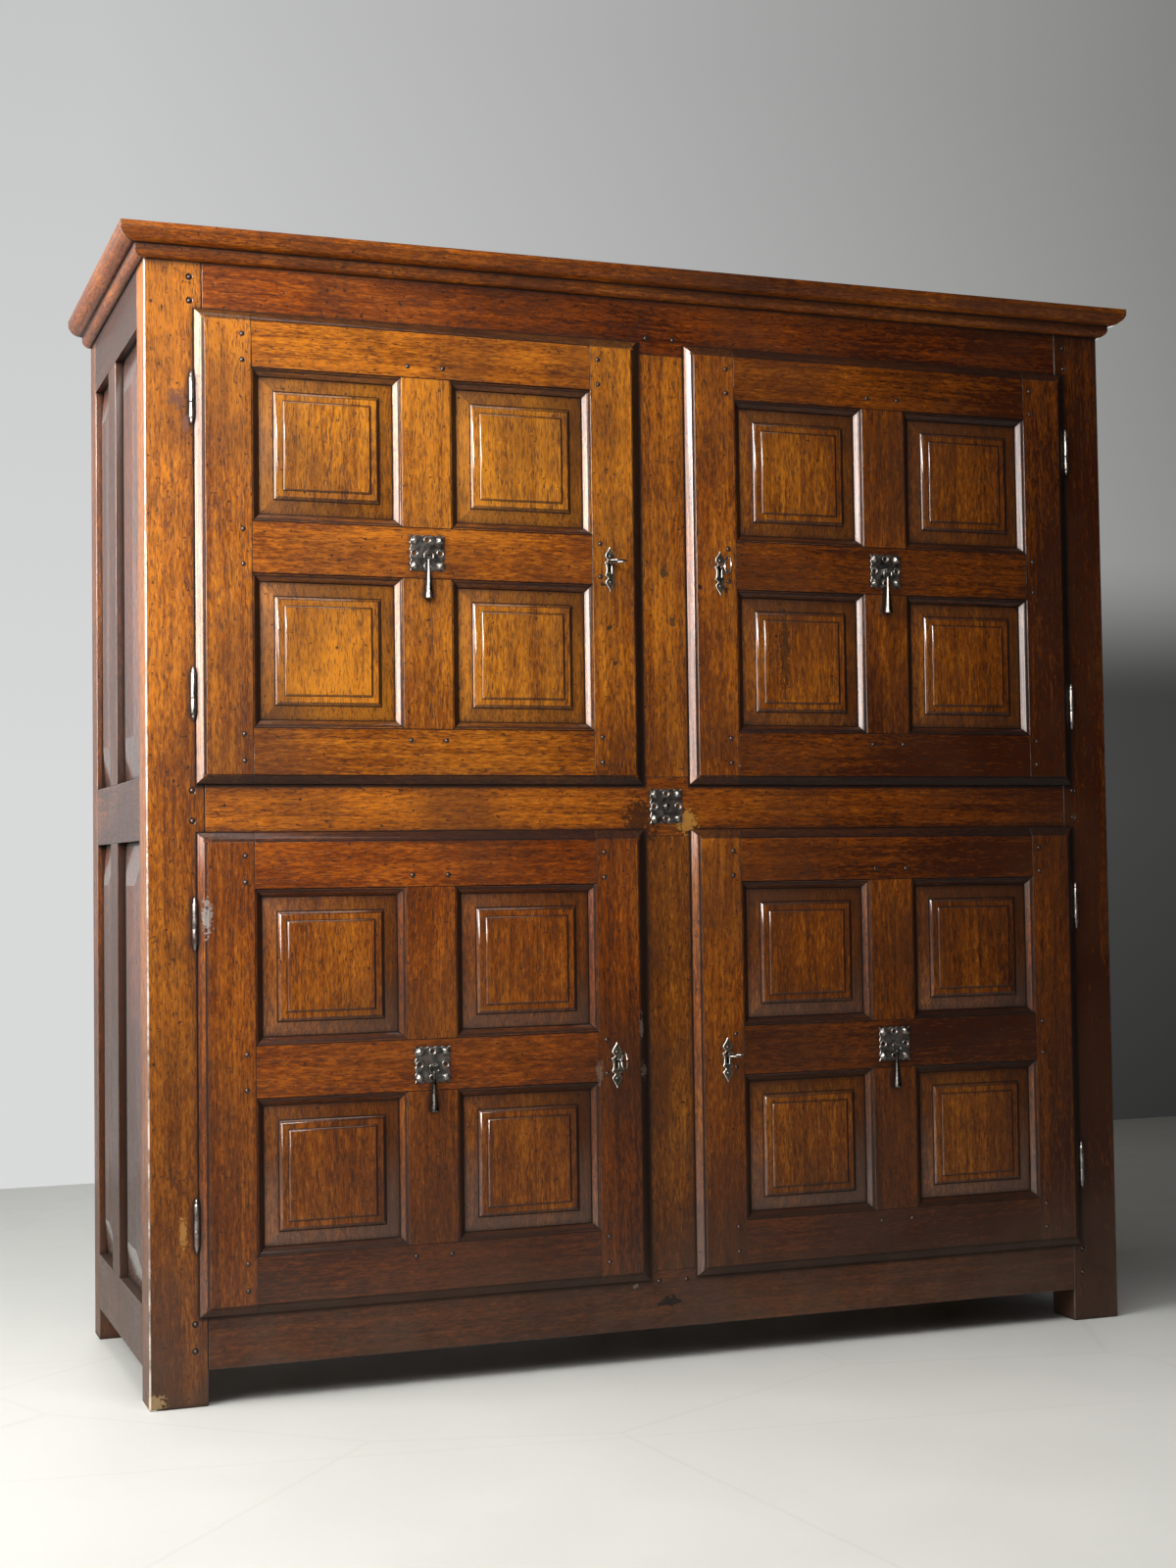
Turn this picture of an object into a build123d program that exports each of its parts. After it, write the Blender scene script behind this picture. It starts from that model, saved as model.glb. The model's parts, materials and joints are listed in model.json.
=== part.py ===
from build123d import *
import math
import os

# Four-door joined cupboard: a pegged frame-and-panel carcass on four post feet, a moulded cornice,
# four lipped doors of four raised panels each, pin hinges, drop pulls, locks and keys.
# Millimetres. +X is the cupboard's right side seen from the front, +Y its back, +Z up.
# The origin lies on the floor at the middle of the whole object's box.

os.makedirs("parts", exist_ok=True)

# ---- Carcass frame -------------------------------------------------------------------------------
frame_width = 1755.0
frame_depth = 625.0
foot_height = 56.0
bottom_rail_height = 96.0
lower_opening_height = 732.0
middle_rail_height = 100.0
upper_opening_height = 724.0
top_rail_height = 124.0
front_post_width = 92.0
front_post_depth = 72.0
back_post_width = 70.0
back_post_depth = 60.0
front_rail_thickness = 34.0
front_muntin_width = 114.0
front_muntin_thickness = 22.0
side_rail_thickness = 30.0
side_muntin_width = 80.0
side_front_bay = 244.0
back_rail_thickness = 22.0
back_board_thickness = 12.0
top_board_thickness = 18.0
deck_thickness = 18.0
shelf_setback = 60.0
lower_shelf_height = 340.0
upper_shelf_height = 350.0
bearer_width = 26.0
bearer_height = 24.0

# ---- Frame joinery -------------------------------------------------------------------------------
front_tenon_inset = 8.0
front_tenon_thickness = 12.0
front_tenon_length = 58.0
side_tenon_inset = 14.0
side_tenon_thickness = 12.0
side_tenon_length = 44.0
back_tenon_thickness = 10.0
back_tenon_length = 40.0
muntin_tenon_length = 40.0
muntin_tenon_inset = 6.0
tenon_shoulder = 8.0
peg_radius = 3.6
peg_proud = 1.0
frame_peg_depth = 28.0
frame_peg_setback = 20.0
bottom_rail_peg_rises = (30.0, 72.0)
middle_rail_peg_rises = (29.0, 77.0)
top_rail_peg_rises = (32.0, 70.0)
muntin_peg_spread = 50.0
lower_muntin_peg_setback = 18.0
upper_muntin_peg_setback = 28.5

# ---- Side panels ---------------------------------------------------------------------------------
side_panel_recess = 15.0
side_field_recess = 3.0
side_panel_tongue = 6.0
side_groove_depth = 8.0
side_front_field = 92.0
side_back_field = 49.0
side_panel_bevel = 72.0
panel_slack = 1.0

# ---- Cornice -------------------------------------------------------------------------------------
cornice_height = 48.0
cornice_projection = 41.0
cornice_fascia = 9.0
cornice_ovolo_height = 19.0
cornice_fillet_height = 8.0
cornice_lower_projection = 16.0
mitre_gap = 0.3

# ---- Doors ---------------------------------------------------------------------------------------
door_proud = 13.0
door_tongue_depth = 17.0
door_gap = 0.3
door_clearance = 2.0
door_side_lap = 13.75
upper_door_bottom_lap = 13.0
upper_door_top_lap = 19.0
lower_door_bottom_lap = 14.0
lower_door_top_lap = 10.0
lip_width = 15.0
lip_edge_thickness = 4.0
lip_step = 1.5
stile_flat = 74.5
door_rail_flat = 74.5
door_muntin_flat = 83.0
door_middle_flat = 83.0
moulding_width = 12.5
moulding_depth = 10.0
moulding_step = 1.5
moulding_fillet = 2.0
door_tenon_thickness = 8.0
door_tenon_length = 55.0
door_tenon_shoulder = 3.0
door_tenon_height = 58.0
door_muntin_tenon = 34.0
door_peg_depth = 26.0
stile_peg_setback = 14.5
rail_peg_inner = 10.5
rail_peg_outer = 52.5
middle_peg_offset = 28.0
muntin_peg_offset = 30.0
muntin_peg_rise = 18.5

# ---- Door panels ---------------------------------------------------------------------------------
panel_bed_depth = 11.5
panel_tongue = 6.5
panel_groove = 8.0
panel_bevel_width = 24.0
panel_bevel_rise = 5.2
panel_step_width = 4.5
panel_step_height = 4.0
panel_border_width = 10.5
panel_field_step = 1.5
panel_field_rise = 1.8

# ---- Hinges --------------------------------------------------------------------------------------
hinge_barrel_radius = 4.2
hinge_axis_proud = 5.0
hinge_offset = 235.0
hinge_eye_length = 40.0
hinge_pintle_length = 25.0
hinge_pin_radius = 2.0
hinge_pin_length = 34.0
hinge_running_gap = 0.08
hinge_finial = 11.0
hinge_leaf_thickness = 1.8
hinge_leaf_reach = 30.0
hinge_tang_reach = 24.0

# ---- Pulls and rosette ---------------------------------------------------------------------------
plate_width = 60.0
plate_height = 59.0
plate_thickness = 1.5
plate_notch_radius = 2.0
plate_ring_radius = 7.0
plate_ring_wire = 1.1
plate_nail_x = 22.0
plate_nail_z = 21.0
boss_radius = 7.5
boss_height = 6.0
nail_radius = 1.4
nail_length = 14.0
pull_axis_proud = 8.0
pull_pin_radius = 1.5
pull_lug_width = 7.0
pull_lug_radius = 3.6
pull_stirrup_width = 18.0
pull_stirrup_drop = 11.0
pull_wire_radius = 1.5
pull_arm_radius = 1.8
pull_arm_cap = 0.6
pull_neck_rise = 0.5
pull_drop_length = 76.0
pull_top_radius = 2.2
pull_bottom_radius = 7.6
rosette_boss_radius = 6.5

# ---- Locks, keys and escutcheons -----------------------------------------------------------------
lock_from_centre = 320.0
escutcheon_drop = 15.0
escutcheon_length = 77.0
escutcheon_lozenge = 8.3
escutcheon_waist = 3.2
escutcheon_body = 9.2
escutcheon_nail_rise = 22.0
escutcheon_head_radius = 2.2
key_rise = 9.5
keyhole_radius = 4.2
keyhole_slot_width = 5.0
keyhole_slot_drop = 16.0
key_shank_radius = 3.0
key_collar_radius = 4.6
key_reach = 50.0
key_bow_length = 29.0
key_bow_width = 33.0
key_bow_wire = 1.7
key_bit_reach = 10.5
key_bit_height = 4.0
key_bit_thickness = 5.0
lock_clearance = 0.5
lock_case_width = 70.0
lock_case_below = 18.0
lock_case_above = 24.0
lock_case_wall = 2.0
lock_edge_gap = 1.5
lock_ear = 10.0
lock_nail_inset = 20.0
bolt_height = 12.0
bolt_thickness = 4.0
bolt_length = 50.0
bolt_rise = 4.5
bolt_throw = 14.0

# ---- Derived levels and planes -------------------------------------------------------------------
z_lower_opening = foot_height + bottom_rail_height
z_middle_rail = z_lower_opening + lower_opening_height
z_upper_opening = z_middle_rail + middle_rail_height
z_top_rail = z_upper_opening + upper_opening_height
frame_top = z_top_rail + top_rail_height

half_width = frame_width / 2
front = -(frame_depth - door_proud - key_reach) / 2
back = front + frame_depth
door_face = front - door_proud
door_back = front + door_tongue_depth
opening_width = (frame_width - 2 * front_post_width - front_muntin_width) / 2
side_front_y = front + front_post_depth
side_back_y = back - back_post_depth
side_muntin_y = side_front_y + side_front_bay
side_back_bay = side_back_y - side_muntin_y - side_muntin_width
back_rail_y = back - back_board_thickness - back_rail_thickness
rosette_z = z_middle_rail + middle_rail_height / 2
hinge_y = front - hinge_axis_proud

frame_rails = (
    (foot_height, bottom_rail_height),
    (z_middle_rail, middle_rail_height),
    (z_top_rail, top_rail_height),
)
frame_openings = (
    (z_lower_opening, lower_opening_height),
    (z_upper_opening, upper_opening_height),
)
side_bays = (
    (side_front_y, side_front_bay, side_front_field),
    (side_muntin_y + side_muntin_width, side_back_bay, side_back_field),
)


class Door:
    """Sizes and places that one door's pieces share."""

    def __init__(self, name, side, z_opening, opening_height, bottom_lap, top_lap, bow_flat):
        self.name = name
        self.side = side
        self.bow_flat = bow_flat
        self.width = opening_width + 2 * door_side_lap
        self.height = opening_height + bottom_lap + top_lap
        self.x = side * (front_muntin_width + opening_width) / 2
        self.z = z_opening - bottom_lap + self.height / 2
        self.tongue_half = opening_width / 2 - door_clearance
        self.tongue_low = -self.height / 2 + bottom_lap + door_clearance
        self.tongue_high = self.height / 2 - top_lap - door_clearance
        self.outer_x = self.width / 2 - lip_width - stile_flat
        self.outer_z = self.height / 2 - lip_width - door_rail_flat
        self.inner_x = door_muntin_flat / 2
        self.inner_z = door_middle_flat / 2
        self.hinge_x = side * (self.width / 2 + hinge_barrel_radius + door_gap)
        self.key_x = -side * lock_from_centre
        self.escutcheon_z = -escutcheon_drop
        self.key_z = self.escutcheon_z + key_rise


doors = (
    Door("upper_left", -1, z_upper_opening, upper_opening_height,
         upper_door_bottom_lap, upper_door_top_lap, True),
    Door("upper_right", 1, z_upper_opening, upper_opening_height,
         upper_door_bottom_lap, upper_door_top_lap, False),
    Door("lower_left", -1, z_lower_opening, lower_opening_height,
         lower_door_bottom_lap, lower_door_top_lap, False),
    Door("lower_right", 1, z_lower_opening, lower_opening_height,
         lower_door_bottom_lap, lower_door_top_lap, True),
)

bolt_front = lock_clearance + max(
    front + front_muntin_thickness + lock_clearance,
    door_back + key_bit_thickness + 2 * lock_clearance,
)
bolt_back = bolt_front + bolt_thickness
lock_case_back = bolt_back + lock_clearance + lock_case_wall


# ---- Helpers -------------------------------------------------------------------------------------
def face_plane(x, y, z):
    """Plane that faces the front: local X is +X, local Y is +Z, and it extrudes towards -Y."""
    return Plane(origin=(x, y, z), x_dir=(1, 0, 0), z_dir=(0, -1, 0))


def block(x0, x1, y0, y1, z0, z1, mode=Mode.ADD):
    """Box between two corners, in the active part."""
    with Locations(((x0 + x1) / 2, (y0 + y1) / 2, (z0 + z1) / 2)):
        Box(abs(x1 - x0), abs(y1 - y0), abs(z1 - z0), mode=mode)


def bars_y(points, radius, y0, y1, mode=Mode.ADD):
    """Round bars along Y at a list of (x, z) places."""
    with Locations(*[(x, (y0 + y1) / 2, z) for x, z in points]):
        Cylinder(radius, abs(y1 - y0), rotation=(90, 0, 0), mode=mode)


def mould_edge(x, y, z, direction, length, width, depth, step, fillet_width):
    """Cut a fillet and ovolo, that fall away from (x, y, z) along direction, in the active part."""
    along = Vector(*direction).cross(Vector(0, 1, 0))
    arc_mid = 0.7071
    with BuildSketch(Plane(origin=(x, y, z), x_dir=direction, z_dir=along)) as section:
        with BuildLine():
            Polyline((width, depth), (width + 2, depth), (width + 2, -2), (0, -2), (0, step),
                     (fillet_width, step))
            ThreePointArc(
                (fillet_width, step),
                (fillet_width + (width - fillet_width) * arc_mid, depth - (depth - step) * arc_mid),
                (width, depth),
            )
        make_face()
    extrude(section.sketch, amount=length / 2, both=True, mode=Mode.SUBTRACT)


def save(part, label):
    """Label a finished piece and write it to its own file."""
    part.label = label
    export_step(part, f"parts/{label}.step")


# ---- Places that several pieces share ------------------------------------------------------------
def front_rail_pegs():
    """(x, z) of the pegs that hold the front rails in the posts and the muntins in the rails."""
    places = []
    post_x = half_width - front_post_width + frame_peg_setback
    rises = (bottom_rail_peg_rises, middle_rail_peg_rises, top_rail_peg_rises)
    for (z, height), pair in zip(frame_rails, rises):
        for rise in pair:
            places += [(-post_x, z + rise), (post_x, z + rise)]
    for x in (-muntin_peg_spread / 2, muntin_peg_spread / 2):
        places.append((x, z_lower_opening - lower_muntin_peg_setback))
        places.append((x, z_top_rail + upper_muntin_peg_setback))
    return places


def door_pegs(door):
    """(x, z) of the pegs of one door, in the carcass frame."""
    places = []
    stile_x = door.outer_x + stile_peg_setback
    for sx in (-1, 1):
        for sz in (-1, 1):
            places.append((sx * stile_x, sz * (door.outer_z + rail_peg_inner)))
            places.append((sx * stile_x, sz * (door.outer_z + rail_peg_outer)))
            places.append((sx * stile_x, sz * middle_peg_offset))
            places.append((sx * muntin_peg_offset, sz * (door.outer_z + muntin_peg_rise)))
    return [(door.x + x, door.z + z) for x, z in places]


def plate_nails(x, z):
    """(x, z) of the four nails of a square plate."""
    return [(x + sx * plate_nail_x, z + sz * plate_nail_z) for sx in (-1, 1) for sz in (-1, 1)]


def rosette_nails():
    """(x, z) of the rosette's four corner nails and of the one in its middle."""
    return plate_nails(0, rosette_z) + [(0, rosette_z)]


def escutcheon_nails(door):
    """(x, z) of the two nails of a door's escutcheon."""
    x, z = door.x + door.key_x, door.z + door.escutcheon_z
    return [(x, z - escutcheon_nail_rise), (x, z + escutcheon_nail_rise)]


def lock_box(door):
    """x0, x1, z0, z1 of a door's lock case, without its ears."""
    free_x = door.x - door.side * (door.tongue_half - lock_edge_gap)
    far_x = free_x + door.side * lock_case_width
    key_z = door.z + door.key_z
    return min(free_x, far_x), max(free_x, far_x), key_z - lock_case_below, key_z + lock_case_above


def lock_nails(door):
    """(x, z) of the four nails in the ears of a door's lock case."""
    x0, x1, z0, z1 = lock_box(door)
    columns = (x0 + lock_nail_inset, x1 - lock_nail_inset)
    return [(x, z) for x in columns for z in (z0 - lock_ear / 2, z1 + lock_ear / 2)]


def hinge_levels(door):
    """z of the joint between eye and pintle, for both hinges of a door."""
    middle = (hinge_eye_length - hinge_pintle_length) / 2
    return [door.z + sz * hinge_offset - middle for sz in (-1, 1)]


def cut_keyhole(x, z, radius, y0, y1):
    """Cut a keyhole, round above and a slot below, in the active part."""
    bars_y([(x, z)], radius, y0, y1, mode=Mode.SUBTRACT)
    block(x - keyhole_slot_width / 2, x + keyhole_slot_width / 2, y0, y1,
          z - keyhole_slot_drop, z, mode=Mode.SUBTRACT)


def drill_door(door):
    """Drill and cut what passes through a door's frame members, in the active part."""
    bars_y(door_pegs(door), peg_radius, door_face - 1, door_face + door_peg_depth, mode=Mode.SUBTRACT)
    nails = plate_nails(door.x, door.z) + escutcheon_nails(door)
    bars_y(nails, nail_radius, door_face - 1, door_face + nail_length, mode=Mode.SUBTRACT)
    bars_y(lock_nails(door), nail_radius, door_back - nail_length, door_back + 1, mode=Mode.SUBTRACT)
    cut_keyhole(door.x + door.key_x, door.z + door.key_z, keyhole_radius, door_face - 1, door_back + 1)


# ---- Front posts ---------------------------------------------------------------------------------
with BuildPart() as front_posts:
    for side in (-1, 1):
        outer, inner = side * half_width, side * (half_width - front_post_width)
        block(outer, inner, front, side_front_y, 0, frame_top)
        for z, height in frame_rails:
            tenon_y = front + front_tenon_inset
            block(inner, inner + side * front_tenon_length, tenon_y, tenon_y + front_tenon_thickness,
                  z + tenon_shoulder, z + height - tenon_shoulder, mode=Mode.SUBTRACT)
            tenon_x = side * (half_width - side_tenon_inset)
            block(tenon_x, tenon_x - side * side_tenon_thickness, side_front_y - side_tenon_length,
                  side_front_y, z + tenon_shoulder, z + height - tenon_shoulder, mode=Mode.SUBTRACT)
        for z, height in frame_openings:
            groove_x = side * (half_width - side_panel_recess)
            block(groove_x, groove_x - side * side_panel_tongue, side_front_y - side_groove_depth,
                  side_front_y, z - side_groove_depth, z + height + side_groove_depth, mode=Mode.SUBTRACT)
    bars_y(front_rail_pegs(), peg_radius, front - 1, front + frame_peg_depth, mode=Mode.SUBTRACT)
    for door in doors:
        hinge_x = door.x + door.hinge_x
        for z in hinge_levels(door):
            block(hinge_x - hinge_leaf_thickness / 2, hinge_x + hinge_leaf_thickness / 2,
                  front - 1, hinge_y + hinge_tang_reach, z - hinge_pintle_length, z, mode=Mode.SUBTRACT)
save(front_posts.part, "front_posts")

# ---- Back posts ----------------------------------------------------------------------------------
with BuildPart() as back_posts:
    for side in (-1, 1):
        outer, inner = side * half_width, side * (half_width - back_post_width)
        block(outer, inner, side_back_y, back, 0, frame_top)
        for z, height in frame_rails:
            tenon_x = side * (half_width - side_tenon_inset)
            block(tenon_x, tenon_x - side * side_tenon_thickness, side_back_y,
                  side_back_y + side_tenon_length, z + tenon_shoulder, z + height - tenon_shoulder,
                  mode=Mode.SUBTRACT)
            tenon_y = back_rail_y + (back_rail_thickness - back_tenon_thickness) / 2
            block(inner, inner + side * back_tenon_length, tenon_y, tenon_y + back_tenon_thickness,
                  z + tenon_shoulder, z + height - tenon_shoulder, mode=Mode.SUBTRACT)
        for z, height in frame_openings:
            groove_x = side * (half_width - side_panel_recess)
            block(groove_x, groove_x - side * side_panel_tongue, side_back_y,
                  side_back_y + side_groove_depth, z - side_groove_depth, z + height + side_groove_depth,
                  mode=Mode.SUBTRACT)
save(back_posts.part, "back_posts")

# ---- Front rails and the muntins between the doors -----------------------------------------------
with BuildPart() as front_rails:
    rail_half = half_width - front_post_width
    for z, height in frame_rails:
        block(-rail_half, rail_half, front, front + front_rail_thickness, z, z + height)
        block(-rail_half - front_tenon_length, rail_half + front_tenon_length,
              front + front_tenon_inset, front + front_tenon_inset + front_tenon_thickness,
              z + tenon_shoulder, z + height - tenon_shoulder)
    tenon_half = front_muntin_width / 2 - tenon_shoulder
    for z, height in frame_openings:
        block(-tenon_half, tenon_half, front + muntin_tenon_inset,
              front + front_muntin_thickness - muntin_tenon_inset,
              z - muntin_tenon_length, z + height + muntin_tenon_length, mode=Mode.SUBTRACT)
    bars_y(front_rail_pegs(), peg_radius, front - 1, front + frame_peg_depth, mode=Mode.SUBTRACT)
    bars_y(rosette_nails(), nail_radius, front - 1, front + nail_length, mode=Mode.SUBTRACT)
save(front_rails.part, "front_rails")

with BuildPart() as front_muntins:
    for z, height in frame_openings:
        block(-front_muntin_width / 2, front_muntin_width / 2, front, front + front_muntin_thickness,
              z, z + height)
        block(-tenon_half, tenon_half, front + muntin_tenon_inset,
              front + front_muntin_thickness - muntin_tenon_inset,
              z - muntin_tenon_length, z + height + muntin_tenon_length)
    bars_y(front_rail_pegs(), peg_radius, front - 1, front + frame_peg_depth, mode=Mode.SUBTRACT)
    bars_y(rosette_nails(), nail_radius, front - 1, front + nail_length, mode=Mode.SUBTRACT)
save(front_muntins.part, "front_muntins")

# ---- Side frames ---------------------------------------------------------------------------------
with BuildPart() as side_rails:
    for side in (-1, 1):
        outer, inner = side * half_width, side * (half_width - side_rail_thickness)
        tenon_x = side * (half_width - side_tenon_inset)
        groove_x = side * (half_width - side_panel_recess)
        for z, height in frame_rails:
            block(outer, inner, side_front_y, side_back_y, z, z + height)
            block(tenon_x, tenon_x - side * side_tenon_thickness, side_front_y - side_tenon_length,
                  side_back_y + side_tenon_length, z + tenon_shoulder, z + height - tenon_shoulder)
        for z, height in frame_openings:
            block(groove_x, groove_x - side * side_panel_tongue, side_front_y, side_back_y,
                  z - side_groove_depth, z + height + side_groove_depth, mode=Mode.SUBTRACT)
            block(tenon_x, tenon_x - side * side_tenon_thickness, side_muntin_y + tenon_shoulder,
                  side_muntin_y + side_muntin_width - tenon_shoulder,
                  z - muntin_tenon_length, z + height + muntin_tenon_length, mode=Mode.SUBTRACT)
save(side_rails.part, "side_rails")

with BuildPart() as side_muntins:
    for side in (-1, 1):
        outer, inner = side * half_width, side * (half_width - side_rail_thickness)
        tenon_x = side * (half_width - side_tenon_inset)
        groove_x = side * (half_width - side_panel_recess)
        for z, height in frame_openings:
            block(outer, inner, side_muntin_y, side_muntin_y + side_muntin_width, z, z + height)
            block(tenon_x, tenon_x - side * side_tenon_thickness, side_muntin_y + tenon_shoulder,
                  side_muntin_y + side_muntin_width - tenon_shoulder,
                  z - muntin_tenon_length, z + height + muntin_tenon_length)
            for y in (side_muntin_y, side_muntin_y + side_muntin_width - side_groove_depth):
                block(groove_x, groove_x - side * side_panel_tongue, y, y + side_groove_depth,
                      z, z + height, mode=Mode.SUBTRACT)
save(side_muntins.part, "side_muntins")

with BuildPart() as side_panels:
    tongue = side_groove_depth - panel_slack
    for side in (-1, 1):
        bed_x = side * (half_width - side_panel_recess)
        field_x = side * (half_width - side_field_recess)
        for z, height in frame_openings:
            for y, bay, field in side_bays:
                block(bed_x, bed_x - side * side_panel_tongue, y - tongue, y + bay + tongue,
                      z - tongue, z + height + tongue)
                middle = (y + bay / 2, z + height / 2)
                with BuildSketch(Plane.YZ.offset(bed_x)):
                    with Locations(middle):
                        Rectangle(bay, height)
                with BuildSketch(Plane.YZ.offset(field_x)):
                    with Locations(middle):
                        Rectangle(field, height - 2 * side_panel_bevel)
                loft()
save(side_panels.part, "side_panels")

# ---- Back ----------------------------------------------------------------------------------------
with BuildPart() as back_rails:
    rail_half = half_width - back_post_width
    for z, height in frame_rails:
        block(-rail_half, rail_half, back_rail_y, back_rail_y + back_rail_thickness, z, z + height)
        tenon_y = back_rail_y + (back_rail_thickness - back_tenon_thickness) / 2
        block(-rail_half - back_tenon_length, rail_half + back_tenon_length, tenon_y,
              tenon_y + back_tenon_thickness, z + tenon_shoulder, z + height - tenon_shoulder)
save(back_rails.part, "back_rails")

back_board_count = 9
board_gap = 1.0
with BuildPart() as back_boards:
    board_pitch = 2 * (half_width - back_post_width) / back_board_count
    for index in range(back_board_count):
        x = -half_width + back_post_width + index * board_pitch
        block(x + board_gap / 2, x + board_pitch - board_gap / 2, back - back_board_thickness, back,
              foot_height, frame_top)
save(back_boards.part, "back_boards")

# ---- Top, decks, shelves and their bearers -------------------------------------------------------
top_board_count = 3
with BuildPart() as top_boards:
    board_pitch = frame_depth / top_board_count
    for index in range(top_board_count):
        y = front + index * board_pitch
        block(-half_width, half_width, y + board_gap / 2, y + board_pitch - board_gap / 2,
              frame_top, frame_top + top_board_thickness)
save(top_boards.part, "top_boards")

deck_levels = (z_lower_opening, z_upper_opening)
shelf_levels = (z_lower_opening + lower_shelf_height, z_upper_opening + upper_shelf_height)
inner_half = half_width - side_rail_thickness
shelf_front_y = front + shelf_setback
inner_board_count = 3
with BuildPart() as deck_and_shelf_boards:
    for level in deck_levels + shelf_levels:
        first_y = front + front_rail_thickness if level in deck_levels else shelf_front_y
        board_pitch = (back_rail_y - first_y) / inner_board_count
        for index in range(inner_board_count):
            y = first_y + index * board_pitch
            block(-inner_half, inner_half, y, y + board_pitch - board_gap, level - deck_thickness, level)
    for side in (-1, 1):
        block(side * half_width, side * (half_width - front_post_width), front, side_front_y,
              0, frame_top, mode=Mode.SUBTRACT)
        block(side * half_width, side * (half_width - back_post_width), side_back_y, back,
              0, frame_top, mode=Mode.SUBTRACT)
save(deck_and_shelf_boards.part, "deck_and_shelf_boards")

with BuildPart() as shelf_bearers:
    for level in deck_levels + shelf_levels:
        for side in (-1, 1):
            block(side * inner_half, side * (inner_half - bearer_width), side_front_y, side_back_y,
                  level - deck_thickness - bearer_height, level - deck_thickness)
save(shelf_bearers.part, "shelf_bearers")

# ---- Cornice: a front length and two returns, mitred at the corners --------------------------------
cornice_top = frame_top + top_board_thickness
cornice_foot = cornice_top - cornice_height
lower_ovolo_height = cornice_height - cornice_fascia - cornice_ovolo_height - cornice_fillet_height


def cornice_section(plane):
    """Cornice profile on a plane whose local X points out of the carcass and local Y up."""
    arc_mid = 0.7071
    fillet_z = cornice_foot + lower_ovolo_height
    ovolo_z = fillet_z + cornice_fillet_height
    fascia_z = ovolo_z + cornice_ovolo_height
    big = cornice_projection - cornice_lower_projection
    with BuildSketch(plane) as section:
        with BuildLine():
            ThreePointArc(
                (0, cornice_foot),
                (cornice_lower_projection * arc_mid, fillet_z - lower_ovolo_height * arc_mid),
                (cornice_lower_projection, fillet_z),
            )
            Line((cornice_lower_projection, fillet_z), (cornice_lower_projection, ovolo_z))
            ThreePointArc(
                (cornice_lower_projection, ovolo_z),
                (cornice_lower_projection + big * arc_mid, fascia_z - cornice_ovolo_height * arc_mid),
                (cornice_projection, fascia_z),
            )
            Polyline((cornice_projection, fascia_z), (cornice_projection, cornice_top),
                     (0, cornice_top), (0, cornice_foot))
        make_face()
    return section.sketch


with BuildPart() as cornice_front:
    profile = cornice_section(Plane(origin=(0, front, 0), x_dir=(0, -1, 0), z_dir=(-1, 0, 0)))
    extrude(profile, amount=half_width + cornice_projection, both=True)
    for side in (-1, 1):
        corner = Plane(origin=(side * half_width, front, 0), z_dir=(side, 1, 0))
        split(bisect_by=corner.offset(-mitre_gap / 2), keep=Keep.BOTTOM)

cornice_returns = []
for side in (-1, 1):
    with BuildPart() as cornice_return:
        end = Plane(origin=(side * half_width, back, 0), x_dir=(side, 0, 0), z_dir=(0, -side, 0))
        extrude(cornice_section(end), amount=side * (frame_depth + cornice_projection))
        corner = Plane(origin=(side * half_width, front, 0), z_dir=(side, 1, 0))
        split(bisect_by=corner.offset(mitre_gap / 2), keep=Keep.TOP)
    cornice_returns.append(cornice_return.part)

cornice = Compound(children=[cornice_front.part] + cornice_returns)
save(cornice, "cornice")

# ---- Pegs of the carcass -------------------------------------------------------------------------
with BuildPart() as frame_pegs:
    bars_y(front_rail_pegs(), peg_radius, front - peg_proud, front + frame_peg_depth)
save(frame_pegs.part, "frame_pegs")


# ---- Square iron plates --------------------------------------------------------------------------
def square_plate(x, y, z):
    """Notched square plate with raised rings, its back on y, in the active part."""
    with BuildSketch(face_plane(x, y, z)) as outline:
        Rectangle(plate_width, plate_height)
        notches = [(sx * plate_width / 2, sz * plate_height / 5) for sx in (-1, 1) for sz in (-1, 1)]
        notches += [(sx * plate_width / 5, sz * plate_height / 2) for sx in (-1, 1) for sz in (-1, 1)]
        with Locations(*notches):
            Circle(plate_notch_radius, mode=Mode.SUBTRACT)
    extrude(outline.sketch, amount=plate_thickness)
    ring_x = plate_width / 2 - plate_ring_radius - plate_ring_wire
    ring_z = plate_height / 2 - plate_ring_radius - plate_ring_wire
    with BuildSketch(face_plane(x, y - plate_thickness, z)) as rings:
        with Locations((-ring_x, 0), (ring_x, 0), (0, -ring_z), (0, ring_z)):
            Circle(plate_ring_radius)
            Circle(plate_ring_radius - 2 * plate_ring_wire, mode=Mode.SUBTRACT)
    extrude(rings.sketch, amount=plate_ring_wire)


def domed_nails(points, y, head_radius, head_height):
    """Domed nails, their heads' flat side on y and their shanks behind it, in the active part."""
    sphere = (head_radius ** 2 + head_height ** 2) / (2 * head_height)
    half_angle = math.asin(head_radius / sphere) / 2
    arc_mid = (sphere * math.sin(half_angle), sphere * (1 - math.cos(half_angle)) - head_height)
    for x, z in points:
        with BuildSketch(Plane(origin=(x, y, z), x_dir=(1, 0, 0), z_dir=(0, 0, 1))) as section:
            with BuildLine():
                Polyline((0, -head_height), (0, nail_length), (nail_radius, nail_length),
                         (nail_radius, 0), (head_radius, 0))
                ThreePointArc((head_radius, 0), arc_mid, (0, -head_height))
            make_face()
        revolve(section.sketch, axis=Axis((x, y, z), (0, 1, 0)))


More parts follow.
